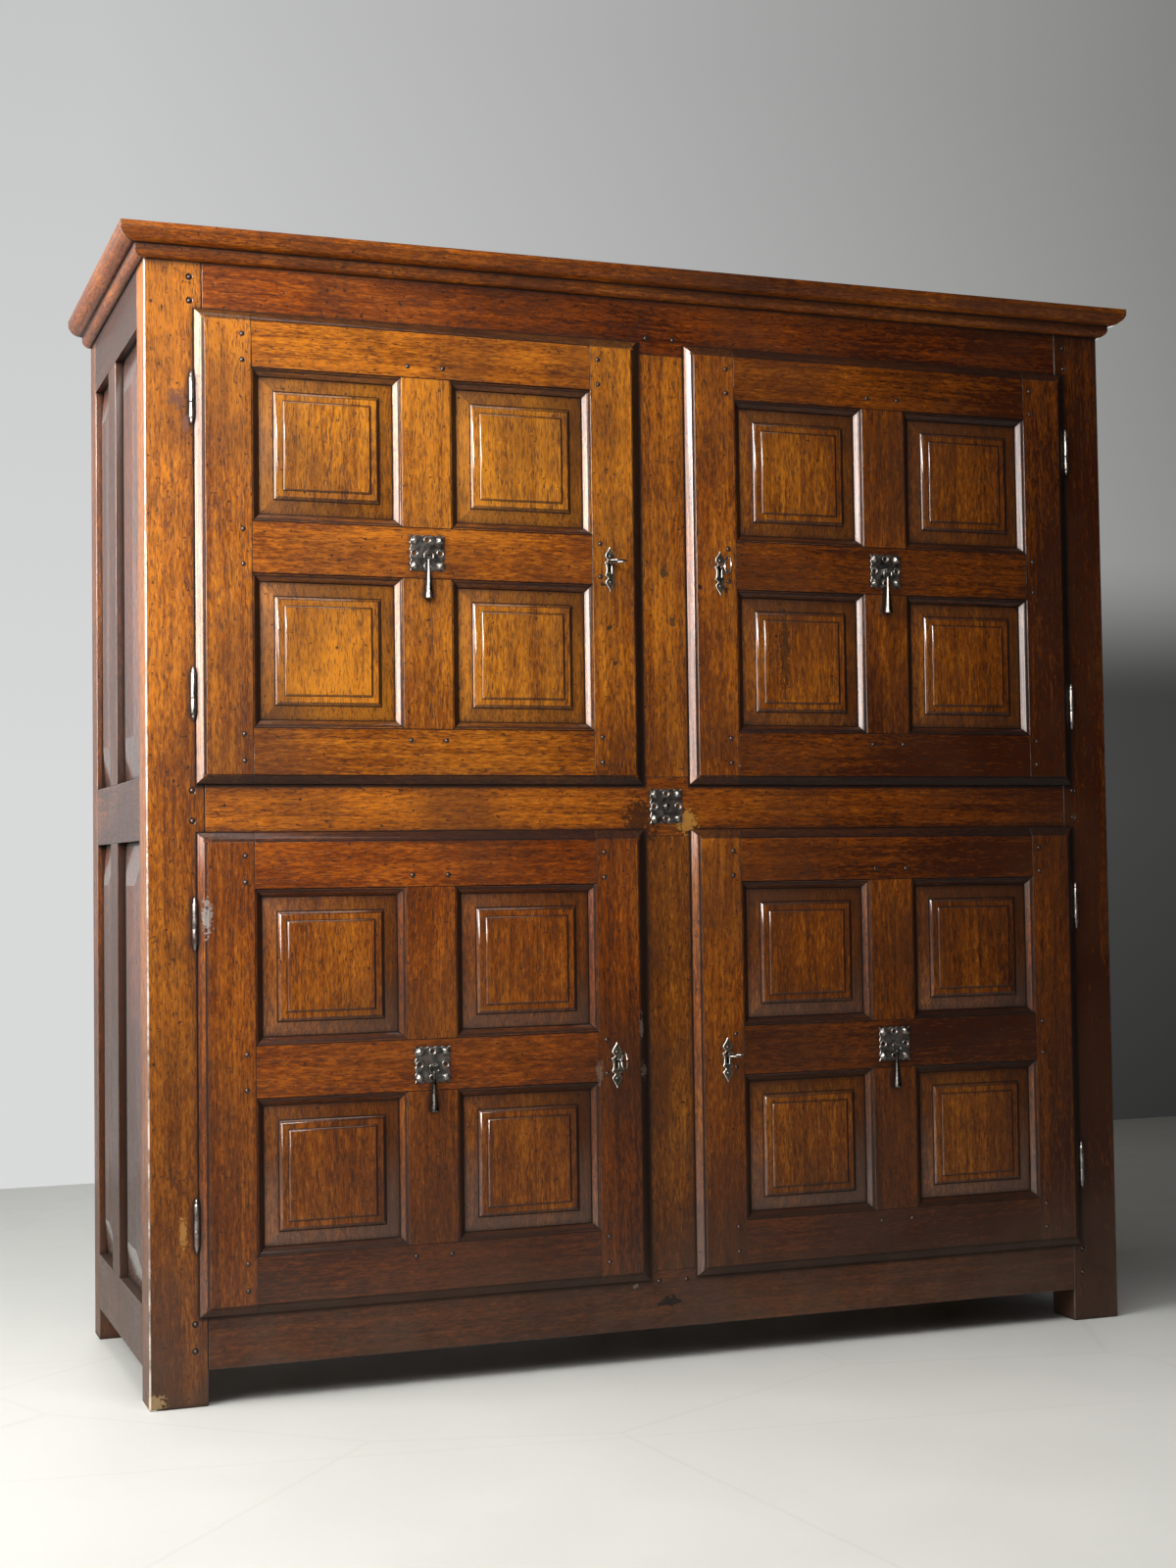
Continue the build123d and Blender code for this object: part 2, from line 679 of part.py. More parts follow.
with BuildPart() as rosette_plate:
    square_plate(0, front, rosette_z)
    bars_y(rosette_nails(), nail_radius, front - 2 * plate_thickness, front, mode=Mode.SUBTRACT)
with BuildPart() as rosette_studs:
    domed_nails(plate_nails(0, rosette_z), front - plate_thickness, boss_radius, boss_height)
    domed_nails([(0, rosette_z)], front - plate_thickness, rosette_boss_radius, boss_height)
centre_rosette = Compound(children=[rosette_plate.part, rosette_studs.part])
save(centre_rosette, "centre_rosette")

# ---- Hinge halves on the posts -------------------------------------------------------------------
with BuildPart() as hinge_pintles:
    for door in doors:
        x = door.x + door.hinge_x
        for z in hinge_levels(door):
            with BuildSketch(Plane(origin=(x, hinge_y, z), x_dir=(1, 0, 0), z_dir=(0, -1, 0))):
                with BuildLine():
                    Polyline((0, hinge_pin_length), (hinge_pin_radius, hinge_pin_length),
                             (hinge_pin_radius, -door_gap), (hinge_barrel_radius, -door_gap),
                             (hinge_barrel_radius, -hinge_pintle_length),
                             (0, -hinge_pintle_length - hinge_finial), (0, hinge_pin_length))
                make_face()
            revolve(axis=Axis((x, hinge_y, z), (0, 0, 1)))
            block(x - hinge_leaf_thickness / 2, x + hinge_leaf_thickness / 2, hinge_y,
                  hinge_y + hinge_tang_reach, z - hinge_pintle_length, z - door_gap)
save(hinge_pintles.part, "hinge_pintles")


# ---- Door outlines: members meet in butt joints on the flat and in mitres along the moulding ------
def stile_outline(door, sx):
    """Outline of a stile, with the strips of moulding that it carries."""
    ox, oz, iz, m = door.outer_x, door.outer_z, door.inner_z, moulding_width
    top, edge = door.height / 2, door.width / 2
    points = [(ox, -top), (edge, -top), (edge, top), (ox, top), (ox, oz), (ox - m, oz - m),
              (ox - m, iz + m), (ox, iz), (ox, -iz), (ox - m, -iz - m), (ox - m, -oz + m), (ox, -oz)]
    return [(sx * x, z) for x, z in points]


def muntin_outline(door, sz):
    """Outline of the upper or the lower muntin."""
    ix, oz, iz, m = door.inner_x, door.outer_z, door.inner_z, moulding_width
    points = [(-ix, iz), (ix, iz), (ix + m, iz + m), (ix + m, oz - m), (ix, oz), (-ix, oz),
              (-ix - m, oz - m), (-ix - m, iz + m)]
    return [(x, sz * z) for x, z in points]


def outer_rail_outline(door, sz):
    """Outline of the top or the bottom rail."""
    ox, ix, oz, m, top = door.outer_x, door.inner_x, door.outer_z, moulding_width, door.height / 2
    points = [(-ox, top), (-ox, oz), (-ox + m, oz - m), (-ix - m, oz - m), (-ix, oz), (ix, oz),
              (ix + m, oz - m), (ox - m, oz - m), (ox, oz), (ox, top)]
    return [(x, sz * z) for x, z in points]


def middle_rail_outline(door):
    """Outline of the middle rail."""
    ox, ix, iz, m = door.outer_x, door.inner_x, door.inner_z, moulding_width
    upper = [(-ox, iz), (-ox + m, iz + m), (-ix - m, iz + m), (-ix, iz), (ix, iz), (ix + m, iz + m),
             (ox - m, iz + m), (ox, iz)]
    return upper + [(x, -z) for x, z in reversed(upper)]


def shape_members(door, outlines):
    """Extrude frame members, lip their outer edges and cut the panel grooves, in the active part."""
    with BuildSketch(face_plane(door.x, door_back, door.z)) as members:
        for outline in outlines:
            Polygon(*outline, align=None)
    extrude(members.sketch, amount=door_back - door_face)
    with BuildSketch(face_plane(door.x, door_back + 1, door.z)) as rebate:
        Rectangle(2 * door.width, 2 * door.height)
        with Locations((0, (door.tongue_low + door.tongue_high) / 2)):
            Rectangle(2 * door.tongue_half, door.tongue_high - door.tongue_low, mode=Mode.SUBTRACT)
    extrude(rebate.sketch, amount=door_back + 1 - front + door_gap, mode=Mode.SUBTRACT)
    lip_depth = door_proud - lip_edge_thickness
    flat_x, flat_z = door.width / 2 - lip_width, door.height / 2 - lip_width
    for sign in (-1, 1):
        mould_edge(door.x + sign * flat_x, door_face, door.z, (sign, 0, 0), 2 * door.height,
                   lip_width, lip_depth, lip_step, lip_step)
        mould_edge(door.x, door_face, door.z + sign * flat_z, (0, 0, sign), 2 * door.width,
                   lip_width, lip_depth, lip_step, lip_step)
    groove_y = door_face + panel_bed_depth
    inset = moulding_width - panel_groove
    for sx in (-1, 1):
        for sz in (-1, 1):
            block(door.x + sx * (door.inner_x + inset), door.x + sx * (door.outer_x - inset),
                  groove_y, groove_y + panel_tongue,
                  door.z + sz * (door.inner_z + inset), door.z + sz * (door.outer_z - inset),
                  mode=Mode.SUBTRACT)


def rail_tenons(door):
    """(z0, z1) of the tenons of a door's three rails."""
    low = door.outer_z + door_tenon_shoulder
    high = door.outer_z + door_tenon_height
    middle = door.inner_z - door_tenon_shoulder
    return [(-high, -low), (-middle, middle), (low, high)]


def tenon_blocks(door, mode):
    """Rail tenons in the stiles and muntin tenons in the rails, in the active part."""
    y0 = door_face + panel_bed_depth
    y1 = y0 + door_tenon_thickness
    if mode == "rails":
        for sx in (-1, 1):
            for z0, z1 in rail_tenons(door):
                yield (door.x + sx * door.outer_x, door.x + sx * (door.outer_x + door_tenon_length),
                       y0, y1, door.z + z0, door.z + z1)
    else:
        half = door.inner_x - door_tenon_shoulder
        for sz in (-1, 1):
            yield (door.x - half, door.x + half, y0, y1, door.z + sz * door.outer_z,
                   door.z + sz * (door.outer_z + door_muntin_tenon))
            yield (door.x - half, door.x + half, y0, y1, door.z + sz * door.inner_z,
                   door.z + sz * (door.inner_z - door_muntin_tenon))


# ---- The four doors ------------------------------------------------------------------------------
for door in doors:
    opening_mid_x = (door.inner_x + door.outer_x) / 2
    opening_mid_z = (door.inner_z + door.outer_z) / 2
    opening_w = door.outer_x - door.inner_x
    opening_h = door.outer_z - door.inner_z

    # Stiles and muntins
    with BuildPart() as uprights:
        outlines = [stile_outline(door, -1), stile_outline(door, 1)]
        outlines += [muntin_outline(door, -1), muntin_outline(door, 1)]
        shape_members(door, outlines)
        for sx in (-1, 1):
            for sz in (-1, 1):
                for edge, inward in ((door.outer_x, -sx), (door.inner_x, sx)):
                    mould_edge(door.x + sx * edge, door_face, door.z + sz * opening_mid_z,
                               (inward, 0, 0), opening_h, moulding_width, moulding_depth,
                               moulding_step, moulding_fillet)
        for box in tenon_blocks(door, "rails"):
            block(*box, mode=Mode.SUBTRACT)
        for box in tenon_blocks(door, "muntins"):
            block(*box)
        drill_door(door)
        for z in hinge_levels(door):
            leaf_y = front - lip_edge_thickness / 2
            block(door.x + door.hinge_x, door.x + door.hinge_x - door.side * hinge_leaf_reach,
                  leaf_y - hinge_leaf_thickness / 2, leaf_y + hinge_leaf_thickness / 2,
                  z, z + hinge_eye_length, mode=Mode.SUBTRACT)
    save(uprights.part, f"{door.name}_door_uprights")

    # Rails
    with BuildPart() as rails:
        outlines = [outer_rail_outline(door, -1), middle_rail_outline(door), outer_rail_outline(door, 1)]
        shape_members(door, outlines)
        for sx in (-1, 1):
            for sz in (-1, 1):
                for edge, inward in ((door.outer_z, -sz), (door.inner_z, sz)):
                    mould_edge(door.x + sx * opening_mid_x, door_face, door.z + sz * edge,
                               (0, 0, inward), opening_w, moulding_width, moulding_depth,
                               moulding_step, moulding_fillet)
        for box in tenon_blocks(door, "muntins"):
            block(*box, mode=Mode.SUBTRACT)
        for box in tenon_blocks(door, "rails"):
            block(*box)
        drill_door(door)
    save(rails.part, f"{door.name}_door_rails")

    # Raised and fielded panels
    with BuildPart() as panels:
        bed_y = door_face + panel_bed_depth
        shoulder_y = bed_y - panel_bevel_rise
        border_y = shoulder_y - panel_step_height
        field_y = border_y - panel_field_rise
        sight_w, sight_h = opening_w - 2 * moulding_width, opening_h - 2 * moulding_width
        grow = 2 * (panel_groove - panel_slack)
        shrink = 2 * panel_bevel_width
        field_shrink = shrink + 2 * (panel_step_width + panel_border_width)
        for sx in (-1, 1):
            for sz in (-1, 1):
                cx, cz = door.x + sx * opening_mid_x, door.z + sz * opening_mid_z
                with BuildSketch(face_plane(cx, bed_y + panel_tongue, cz)):
                    Rectangle(sight_w + grow, sight_h + grow)
                extrude(amount=panel_tongue)
                with BuildSketch(face_plane(cx, bed_y, cz)):
                    Rectangle(sight_w, sight_h)
                with BuildSketch(face_plane(cx, shoulder_y, cz)):
                    Rectangle(sight_w - shrink, sight_h - shrink)
                loft()
                with BuildSketch(face_plane(cx, shoulder_y, cz)):
                    Rectangle(sight_w - shrink, sight_h - shrink)
                extrude(amount=panel_step_height)
                with BuildSketch(face_plane(cx, border_y, cz)):
                    Rectangle(sight_w - field_shrink, sight_h - field_shrink)
                with BuildSketch(face_plane(cx, field_y, cz)):
                    Rectangle(sight_w - field_shrink - 2 * panel_field_step,
                              sight_h - field_shrink - 2 * panel_field_step)
                loft()
                for sign in (-1, 1):
                    edge_x = (sight_w - shrink) / 2 - panel_step_width
                    edge_z = (sight_h - shrink) / 2 - panel_step_width
                    mould_edge(cx + sign * edge_x, border_y, cz, (sign, 0, 0), sight_h - shrink,
                               panel_step_width, panel_step_height - panel_field_step,
                               0.4, 0.4)
                    mould_edge(cx, border_y, cz + sign * edge_z, (0, 0, sign), sight_w - shrink,
                               panel_step_width, panel_step_height - panel_field_step,
                               0.4, 0.4)
    save(panels.part, f"{door.name}_door_panels")

    # Pegs
    with BuildPart() as pegs:
        bars_y(door_pegs(door), peg_radius, door_face - peg_proud, door_face + door_peg_depth)
    save(pegs.part, f"{door.name}_door_pegs")

    # Hinge halves on the door
    with BuildPart() as hinge_eyes:
        x = door.x + door.hinge_x
        leaf_y = front - lip_edge_thickness / 2
        for z in hinge_levels(door):
            with BuildSketch(Plane(origin=(x, hinge_y, z), x_dir=(1, 0, 0), z_dir=(0, -1, 0))):
                with BuildLine():
                    Polyline((0, 0), (hinge_barrel_radius, 0), (hinge_barrel_radius, hinge_eye_length),
                             (0, hinge_eye_length + hinge_finial), (0, 0))
                make_face()
            revolve(axis=Axis((x, hinge_y, z), (0, 0, 1)))
            block(x, x - door.side * hinge_leaf_reach, leaf_y - hinge_leaf_thickness / 2,
                  leaf_y + hinge_leaf_thickness / 2, z, z + hinge_eye_length)
            with Locations((x, hinge_y, z + hinge_pin_length / 2)):
                Cylinder(hinge_pin_radius + hinge_running_gap, hinge_pin_length + 2 * door_gap,
                         mode=Mode.SUBTRACT)
    save(hinge_eyes.part, f"{door.name}_hinge_eyes")

    # Pull plate with its lug and nails
    pull_y = door_face - plate_thickness - pull_axis_proud
    with BuildPart() as pull_plate:
        square_plate(door.x, door_face, door.z)
        block(door.x - pull_lug_width / 2, door.x + pull_lug_width / 2, pull_y, door_face,
              door.z - pull_lug_radius, door.z + pull_lug_radius)
        with Locations((door.x, pull_y, door.z)):
            Cylinder(pull_lug_radius, pull_lug_width, rotation=(0, 90, 0))
            Cylinder(pull_pin_radius + hinge_running_gap, 2 * pull_lug_width, rotation=(0, 90, 0),
                     mode=Mode.SUBTRACT)
        bars_y(plate_nails(door.x, door.z), nail_radius, door_face - 2 * plate_thickness, door_face,
               mode=Mode.SUBTRACT)
    with BuildPart() as pull_nails:
        domed_nails(plate_nails(door.x, door.z), door_face - plate_thickness, boss_radius, boss_height)
    save(Compound(children=[pull_plate.part, pull_nails.part]), f"{door.name}_pull_plate")

    # Drop: a stirrup that turns on the lug's pin, and a conical drop below it
    with BuildPart() as pull_drop:
        arm_x = pull_stirrup_width / 2 - pull_arm_radius
        arm_top = door.z + pull_pin_radius + pull_arm_cap
        arm_foot = door.z - pull_stirrup_drop - pull_wire_radius - pull_arm_cap
        neck = -pull_stirrup_drop + pull_neck_rise
        with Locations((door.x, pull_y, door.z)):
            Cylinder(pull_pin_radius, 2 * arm_x, rotation=(0, 90, 0))
        with Locations(*[(door.x + sx * arm_x, pull_y, (arm_top + arm_foot) / 2) for sx in (-1, 1)]):
            Cylinder(pull_arm_radius, arm_top - arm_foot)
        with Locations((door.x, pull_y, door.z - pull_stirrup_drop)):
            Cylinder(pull_wire_radius, 2 * arm_x, rotation=(0, 90, 0))
        with BuildSketch(Plane(origin=(door.x, pull_y, door.z), x_dir=(1, 0, 0), z_dir=(0, -1, 0))):
            with BuildLine():
                Polyline((0, neck), (pull_top_radius, neck),
                         (pull_bottom_radius, -pull_drop_length + 1.5),
                         (pull_bottom_radius - 1, -pull_drop_length),
                         (0, -pull_drop_length), (0, neck))
            make_face()
        revolve(axis=Axis((door.x, pull_y, door.z), (0, 0, 1)))
    save(pull_drop.part, f"{door.name}_pull_drop")

    # Escutcheon with its nails
    key_x, key_z = door.x + door.key_x, door.z + door.key_z
    plate_z = door.z + door.escutcheon_z
    with BuildPart() as escutcheon_plate:
        with BuildSketch(face_plane(key_x, door_face, plate_z)):
            with BuildLine():
                half = escutcheon_length / 2
                right = [(0, half), (escutcheon_lozenge, half * 0.6), (escutcheon_waist + 1, half * 0.38),
                         (escutcheon_body, half * 0.27), (escutcheon_body - 2, 0),
                         (escutcheon_body, -half * 0.27), (escutcheon_waist + 1, -half * 0.38),
                         (escutcheon_lozenge, -half * 0.56), (0, -half)]
                Polyline(*(right + [(-x, z) for x, z in reversed(right[1:-1])]), close=True)
            make_face()
        extrude(amount=plate_thickness)
        cut_keyhole(key_x, key_z, keyhole_radius, door_face - 2 * plate_thickness, door_face + 1)
        bars_y(escutcheon_nails(door), nail_radius, door_face - 2 * plate_thickness, door_face,
               mode=Mode.SUBTRACT)
    with BuildPart() as escutcheon_pins:
        domed_nails(escutcheon_nails(door), door_face - plate_thickness, escutcheon_head_radius,
                    escutcheon_head_radius)
    save(Compound(children=[escutcheon_plate.part, escutcheon_pins.part]), f"{door.name}_escutcheon")

    # Key: oval bow, collared shank and a bit inside the lock
    bow_y = door_face - key_reach + key_bow_length / 2
    shank_front = door_face - key_reach + key_bow_length
    with BuildPart() as key:
        bars_y([(key_x, key_z)], key_shank_radius, shank_front - key_bow_wire, bolt_back)
        for collar_y in (shank_front + 3, shank_front + 10):
            with Locations((key_x, collar_y, key_z)):
                Cylinder(key_collar_radius, 3, rotation=(90, 0, 0))
        across = (1, 0, 0) if door.bow_flat else (0, 0, 1)
        normal = (0, 0, -1) if door.bow_flat else (1, 0, 0)
        bow_plane = Plane(origin=(key_x, bow_y, key_z), x_dir=across, z_dir=normal)
        with BuildSketch(bow_plane):
            Ellipse(key_bow_width / 2, key_bow_length / 2)
            Ellipse(key_bow_width / 2 - 2 * key_bow_wire, key_bow_length / 2 - 2 * key_bow_wire,
                    mode=Mode.SUBTRACT)
        extrude(amount=key_bow_wire, both=True)
        bit_y = door_back + lock_clearance
        if door.bow_flat:
            block(key_x, key_x + door.side * key_bit_reach, bit_y, bit_y + key_bit_thickness,
                  key_z - key_bit_height / 2, key_z + key_bit_height / 2)
        else:
            block(key_x - key_bit_height / 2, key_x + key_bit_height / 2, bit_y,
                  bit_y + key_bit_thickness, key_z - key_bit_reach, key_z)
    save(key.part, f"{door.name}_key")

    # Lock case on the back of the stile, with ears for its nails
    x0, x1, z0, z1 = lock_box(door)
    with BuildPart() as lock_case:
        block(x0, x1, door_back, lock_case_back, z0, z1)
        block(x0 + lock_case_wall, x1 - lock_case_wall, door_back, lock_case_back - lock_case_wall,
              z0 + lock_case_wall, z1 - lock_case_wall, mode=Mode.SUBTRACT)
        for ear_z in (z0 - lock_ear, z1):
            block(x0, x1, door_back, door_back + lock_case_wall, ear_z, ear_z + lock_ear)
        free_x = x1 if door.side < 0 else x0
        block(free_x - lock_case_wall - 1, free_x + lock_case_wall + 1,
              bolt_front - lock_clearance, bolt_back + lock_clearance,
              key_z + bolt_rise - lock_clearance, key_z + bolt_rise + bolt_height + lock_clearance,
              mode=Mode.SUBTRACT)
        bars_y(lock_nails(door), nail_radius, door_back, door_back + lock_case_wall, mode=Mode.SUBTRACT)
    with BuildPart() as case_nails:
        for x, z in lock_nails(door):
            with Locations((x, door_back + lock_case_wall + 0.5, z)):
                Cylinder(2 * nail_radius, 1, rotation=(90, 0, 0))
        bars_y(lock_nails(door), nail_radius, door_back - nail_length, door_back + lock_case_wall)
    save(Compound(children=[lock_case.part, case_nails.part]), f"{door.name}_lock_case")

    # Lock bolt, drawn back behind the edge of the door
    with BuildPart() as lock_bolt:
        tip_x = free_x - (lock_clearance if door.side < 0 else -lock_clearance)
        block(tip_x, tip_x + door.side * bolt_length, bolt_front, bolt_back,
              key_z + bolt_rise, key_z + bolt_rise + bolt_height)
    save(lock_bolt.part, f"{door.name}_lock_bolt")
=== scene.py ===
"""Dresses a packed four-door cupboard: waxed walnut, forged iron, a pale studio and a camera."""

import functools
import json
import math
import random

import bmesh
import bpy
from bpy.props import FloatProperty, FloatVectorProperty, IntProperty, PointerProperty
from mathutils import Matrix, Vector


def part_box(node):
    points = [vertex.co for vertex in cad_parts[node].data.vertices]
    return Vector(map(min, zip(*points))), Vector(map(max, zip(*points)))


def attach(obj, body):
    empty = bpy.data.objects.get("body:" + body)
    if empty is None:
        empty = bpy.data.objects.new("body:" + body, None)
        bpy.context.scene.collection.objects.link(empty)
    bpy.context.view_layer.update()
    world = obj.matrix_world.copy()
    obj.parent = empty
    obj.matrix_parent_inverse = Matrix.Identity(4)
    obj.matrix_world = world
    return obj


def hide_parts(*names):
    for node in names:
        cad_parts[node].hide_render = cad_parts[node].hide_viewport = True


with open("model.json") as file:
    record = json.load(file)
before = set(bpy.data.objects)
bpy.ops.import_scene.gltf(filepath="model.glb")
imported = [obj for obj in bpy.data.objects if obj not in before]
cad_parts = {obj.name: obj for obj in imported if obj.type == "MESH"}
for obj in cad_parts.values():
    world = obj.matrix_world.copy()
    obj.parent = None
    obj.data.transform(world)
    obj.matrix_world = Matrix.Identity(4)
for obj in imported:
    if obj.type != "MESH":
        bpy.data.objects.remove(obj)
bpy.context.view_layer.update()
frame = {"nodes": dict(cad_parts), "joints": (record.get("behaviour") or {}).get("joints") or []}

bl_info = {
    "name": "Four-door cupboard",
    "version": (1, 0, 0),
    "blender": (4, 5, 0),
    "location": "View3D > Sidebar > Cupboard",
    "description": "Builds the looks of a joined four-door cupboard round its packed solids",
    "category": "Object",
}

DOORS = ("upper_left", "upper_right", "lower_left", "lower_right")
MM = 0.001
FRAME_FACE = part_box("front_posts")[0].y
DOOR_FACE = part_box("upper_left_door_uprights")[0].y
WIDE_FACE = 1.2e-3  # square metres: a larger face is a board's or a panel's, a smaller one a moulding's
PANEL_TONGUE = 6.5 * MM
PANEL_SIGHT = 111 * MM  # from a panel's middle to where its groove hides it
OPENING_MIDDLE = 165 * MM  # from a door's middle to the middle of a panel's opening
HALF_OPENING = 123.5 * MM  # from there to the outer edge of the moulding round the opening
SHEET_IRON = 1.5 * MM


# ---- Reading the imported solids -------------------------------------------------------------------
def joint_place(name):
    """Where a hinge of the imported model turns."""
    for joint in frame["joints"]:
        if joint["name"] == name:
            return Vector(joint["pos_m"])
    raise ValueError(f"the packed model has no joint {name}")


def merged_copy(node):
    """A bmesh of a node with its doubles merged and its flat faces whole."""
    mesh = bmesh.new()
    mesh.from_mesh(frame["nodes"][node].data)
    bmesh.ops.remove_doubles(mesh, verts=mesh.verts, dist=1e-6)
    bmesh.ops.dissolve_limit(mesh, angle_limit=math.radians(0.6), verts=mesh.verts, edges=mesh.edges)
    mesh.verts.index_update()
    return mesh


def islands(mesh):
    """Lists of the vertices that hang together, in the order of the mesh."""
    mesh.verts.index_update()
    seen = [False] * len(mesh.verts)
    groups = []
    for start in mesh.verts:
        if seen[start.index]:
            continue
        seen[start.index] = True
        stack, group = [start], []
        while stack:
            vert = stack.pop()
            group.append(vert)
            for edge in vert.link_edges:
                other = edge.other_vert(vert)
                if not seen[other.index]:
                    seen[other.index] = True
                    stack.append(other)
        groups.append(group)
    return groups


def span(verts):
    """Lowest and highest corner of some vertices."""
    lo = Vector([min(v.co[i] for v in verts) for i in range(3)])
    hi = Vector([max(v.co[i] for v in verts) for i in range(3)])
    return lo, hi


def solid_spans(node):
    """Corner pairs of a node's solids, from the left, then from below."""
    mesh = merged_copy(node)
    spans = [span(group) for group in islands(mesh)]
    mesh.free()
    return sorted(spans, key=lambda s: (round(s[0].x, 4), round(s[0].z, 4)))


def member_face(node):
    """Depth of the front of a member."""
    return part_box(node)[0].y


# ---- Making objects ------------------------------------------------------------------------------
def loose_object(name, mesh, material):
    """Turns a bmesh into an object that isn't in the scene yet."""
    data = bpy.data.meshes.new(name)
    mesh.to_mesh(data)
    mesh.free()
    data.materials.append(material)
    return bpy.data.objects.new(name, data)


def finish_piece(piece, body, replaces):
    """Puts a piece in the scene, with its body and the nodes that it stands for."""
    bpy.context.scene.collection.objects.link(piece)
    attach(piece, body)
    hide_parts(*replaces)
    return piece


def new_piece(name, mesh, finish, body, replaces):
    """Turns a bmesh into a piece that rides on a body and stands for some nodes."""
    return finish_piece(loose_object(name, mesh, finish_of(finish)), body, replaces)


def join_meshes(piece, parts):
    """Adds the meshes of some objects, with their materials, to a piece."""
    mesh = bmesh.new()
    mesh.from_mesh(piece.data)
    for part in parts:
        for material in part.data.materials:
            if material is not None and material not in piece.data.materials[:]:
                piece.data.materials.append(material)
        names = piece.data.materials[:]
        before = len(mesh.faces)
        own = [names.index(m) if m is not None else 0 for m in part.data.materials] or [0]
        mesh.from_mesh(part.data)
        mesh.faces.ensure_lookup_table()
        for face in mesh.faces[before:]:
            face.material_index = own[min(face.material_index, len(own) - 1)]
        data = part.data
        bpy.data.objects.remove(part)
        bpy.data.meshes.remove(data)
    mesh.to_mesh(piece.data)
    mesh.free()
    return piece


def face_mark(mesh, name):
    """The layer that marks faces by a number from 0 to 1."""
    layers = mesh.faces.layers.float
    return layers.get(name) or layers.new(name)


def round_edges(mesh, width, segments=2, angle=33.0, quirk=0.0):
    """Rounds the outer edges and marks a strip in each inner corner for painted shade with grimy deposits.
    """
    worn, shade_and_dirt = face_mark(mesh, "worn"), face_mark(mesh, "shade_and_dirt")
    if quirk:
        corners = [
            edge for edge in mesh.edges
            if edge.is_manifold and not edge.is_convex and edge.calc_face_angle(0) > math.radians(24)
            and edge.calc_length() > 20 * MM
        ]
        made = bmesh.ops.bevel(mesh, geom=corners, offset=quirk, segments=1, profile=0.5,
                               affect="EDGES", clamp_overlap=True)
        for face in made["faces"]:
            face[shade_and_dirt] = 1.0
    edges = [
        edge for edge in mesh.edges
        if edge.is_manifold and edge.is_convex and edge.calc_face_angle(0) > math.radians(angle)
    ]
    made = bmesh.ops.bevel(mesh, geom=edges, offset=width, segments=segments, profile=0.55,
                           affect="EDGES", clamp_overlap=False)
    for face in made["faces"]:
        face[worn] = 1.0


def mark_faces(mesh, lee_shade=0.0, lip=None):
    """Marks ledges, slopes, polished mouldings and the painted shade on mouldings turned from the light, and
    which edges look sharp.
    """
    worn, shade_and_dirt = face_mark(mesh, "worn"), face_mark(mesh, "shade_and_dirt")
    ledge, slope, polish = (face_mark(mesh, name) for name in ("ledge", "slope", "polish"))
    mesh.normal_update()
    for face in mesh.faces:
        face.smooth = True
        across, ahead, up = face.normal
        sloped = 0.95 < max(abs(across), abs(ahead)) < 0.995 and face.calc_area() > WIDE_FACE
        moulded = -0.96 < ahead < -0.15
        face[ledge] = max(0.0, up)
        # Bevels get painted shade, little of it where they face left towards the light
        face[slope] = (0.15 if across < -0.1 else 1.0) if sloped else 0.0
        # Painted shade on mouldings turned right, and less of it on those turned down or up
        if lee_shade and moulded and across > 0.3:
            face[shade_and_dirt] = max(face[shade_and_dirt], lee_shade)
        if lee_shade and moulded and max(-up, 0.7 * up) > 0.3:
            face[shade_and_dirt] = max(face[shade_and_dirt], 0.66 * lee_shade)
        # Painted shade on the lip of a door, and in its quirks with grimy deposits
        if lip is not None and ahead < -0.15:
            face[shade_and_dirt] = max(face[shade_and_dirt], lip(face.calc_center_median()))
        face[polish] = 1.0 if (lee_shade and moulded) or face[worn] or sloped else 0.0
    for edge in mesh.edges:
        if len(edge.link_faces) == 2:
            one, two = edge.link_faces
            bend = one.normal.angle(two.normal, 0)
            wide = min(one.calc_area(), two.calc_area()) > WIDE_FACE
            rounded = one[worn] > 0.5 or two[worn] > 0.5
            edge.smooth = rounded or bend < math.radians(4 if wide else 26)


def write_grain(mesh, tone, warmth, spread, axis=None):
    """Stores, for each board, coordinates along its own grain, a tone and a warmth."""
    grain = mesh.verts.layers.float_vector.new("grain")
    tones = mesh.verts.layers.float.new("tone")
    warms = mesh.verts.layers.float.new("warmth")
    for group in islands(mesh):
        lo, hi = span(group)
        size = hi - lo
        centre = (lo + hi) / 2
        draw = random.Random(f"{centre.x:.3f} {centre.y:.3f} {centre.z:.3f}")
        along = axis if axis is not None else max(range(3), key=lambda i: size[i])
        across = [i for i in range(3) if i != along]
        shift = Vector((draw.uniform(-0.4, 0.4), draw.uniform(0.1, 0.5), draw.uniform(-9, 9)))
        tilt = Matrix.Rotation(draw.uniform(-0.02, 0.02), 3, "Y")
        more_tone = draw.uniform(-spread, spread)
        more_warmth = draw.uniform(-spread, spread)
        for vert in group:
            local = vert.co - centre
            own = Vector((local[across[0]], local[across[1]], local[along]))
            vert[grain] = tilt @ own + shift
            vert[tones] = more_tone + (tone(vert.co) if callable(tone) else tone)
            vert[warms] = more_warmth + (warmth(vert.co) if callable(warmth) else warmth)


def even_shading(piece):
    """Keeps flat faces flat beside their rounded edges."""
    modifier = piece.modifiers.new("Even shading", "WEIGHTED_NORMAL")
    modifier.keep_sharp = True
    modifier.weight = 90


def in_mm(pairs, start=0.0):
    """A profile of (radius, distance) pairs in millimetres, in metres from a start."""
    return [(radius * MM, start + distance * MM) for radius, distance in pairs]


def ring_of(mesh, centre, side, other, radius, steps):
    """Vertices round a circle."""
    turns = [2 * math.pi * step / steps for step in range(steps)]
    return [mesh.verts.new(centre + (side * math.cos(t) + other * math.sin(t)) * radius) for t in turns]


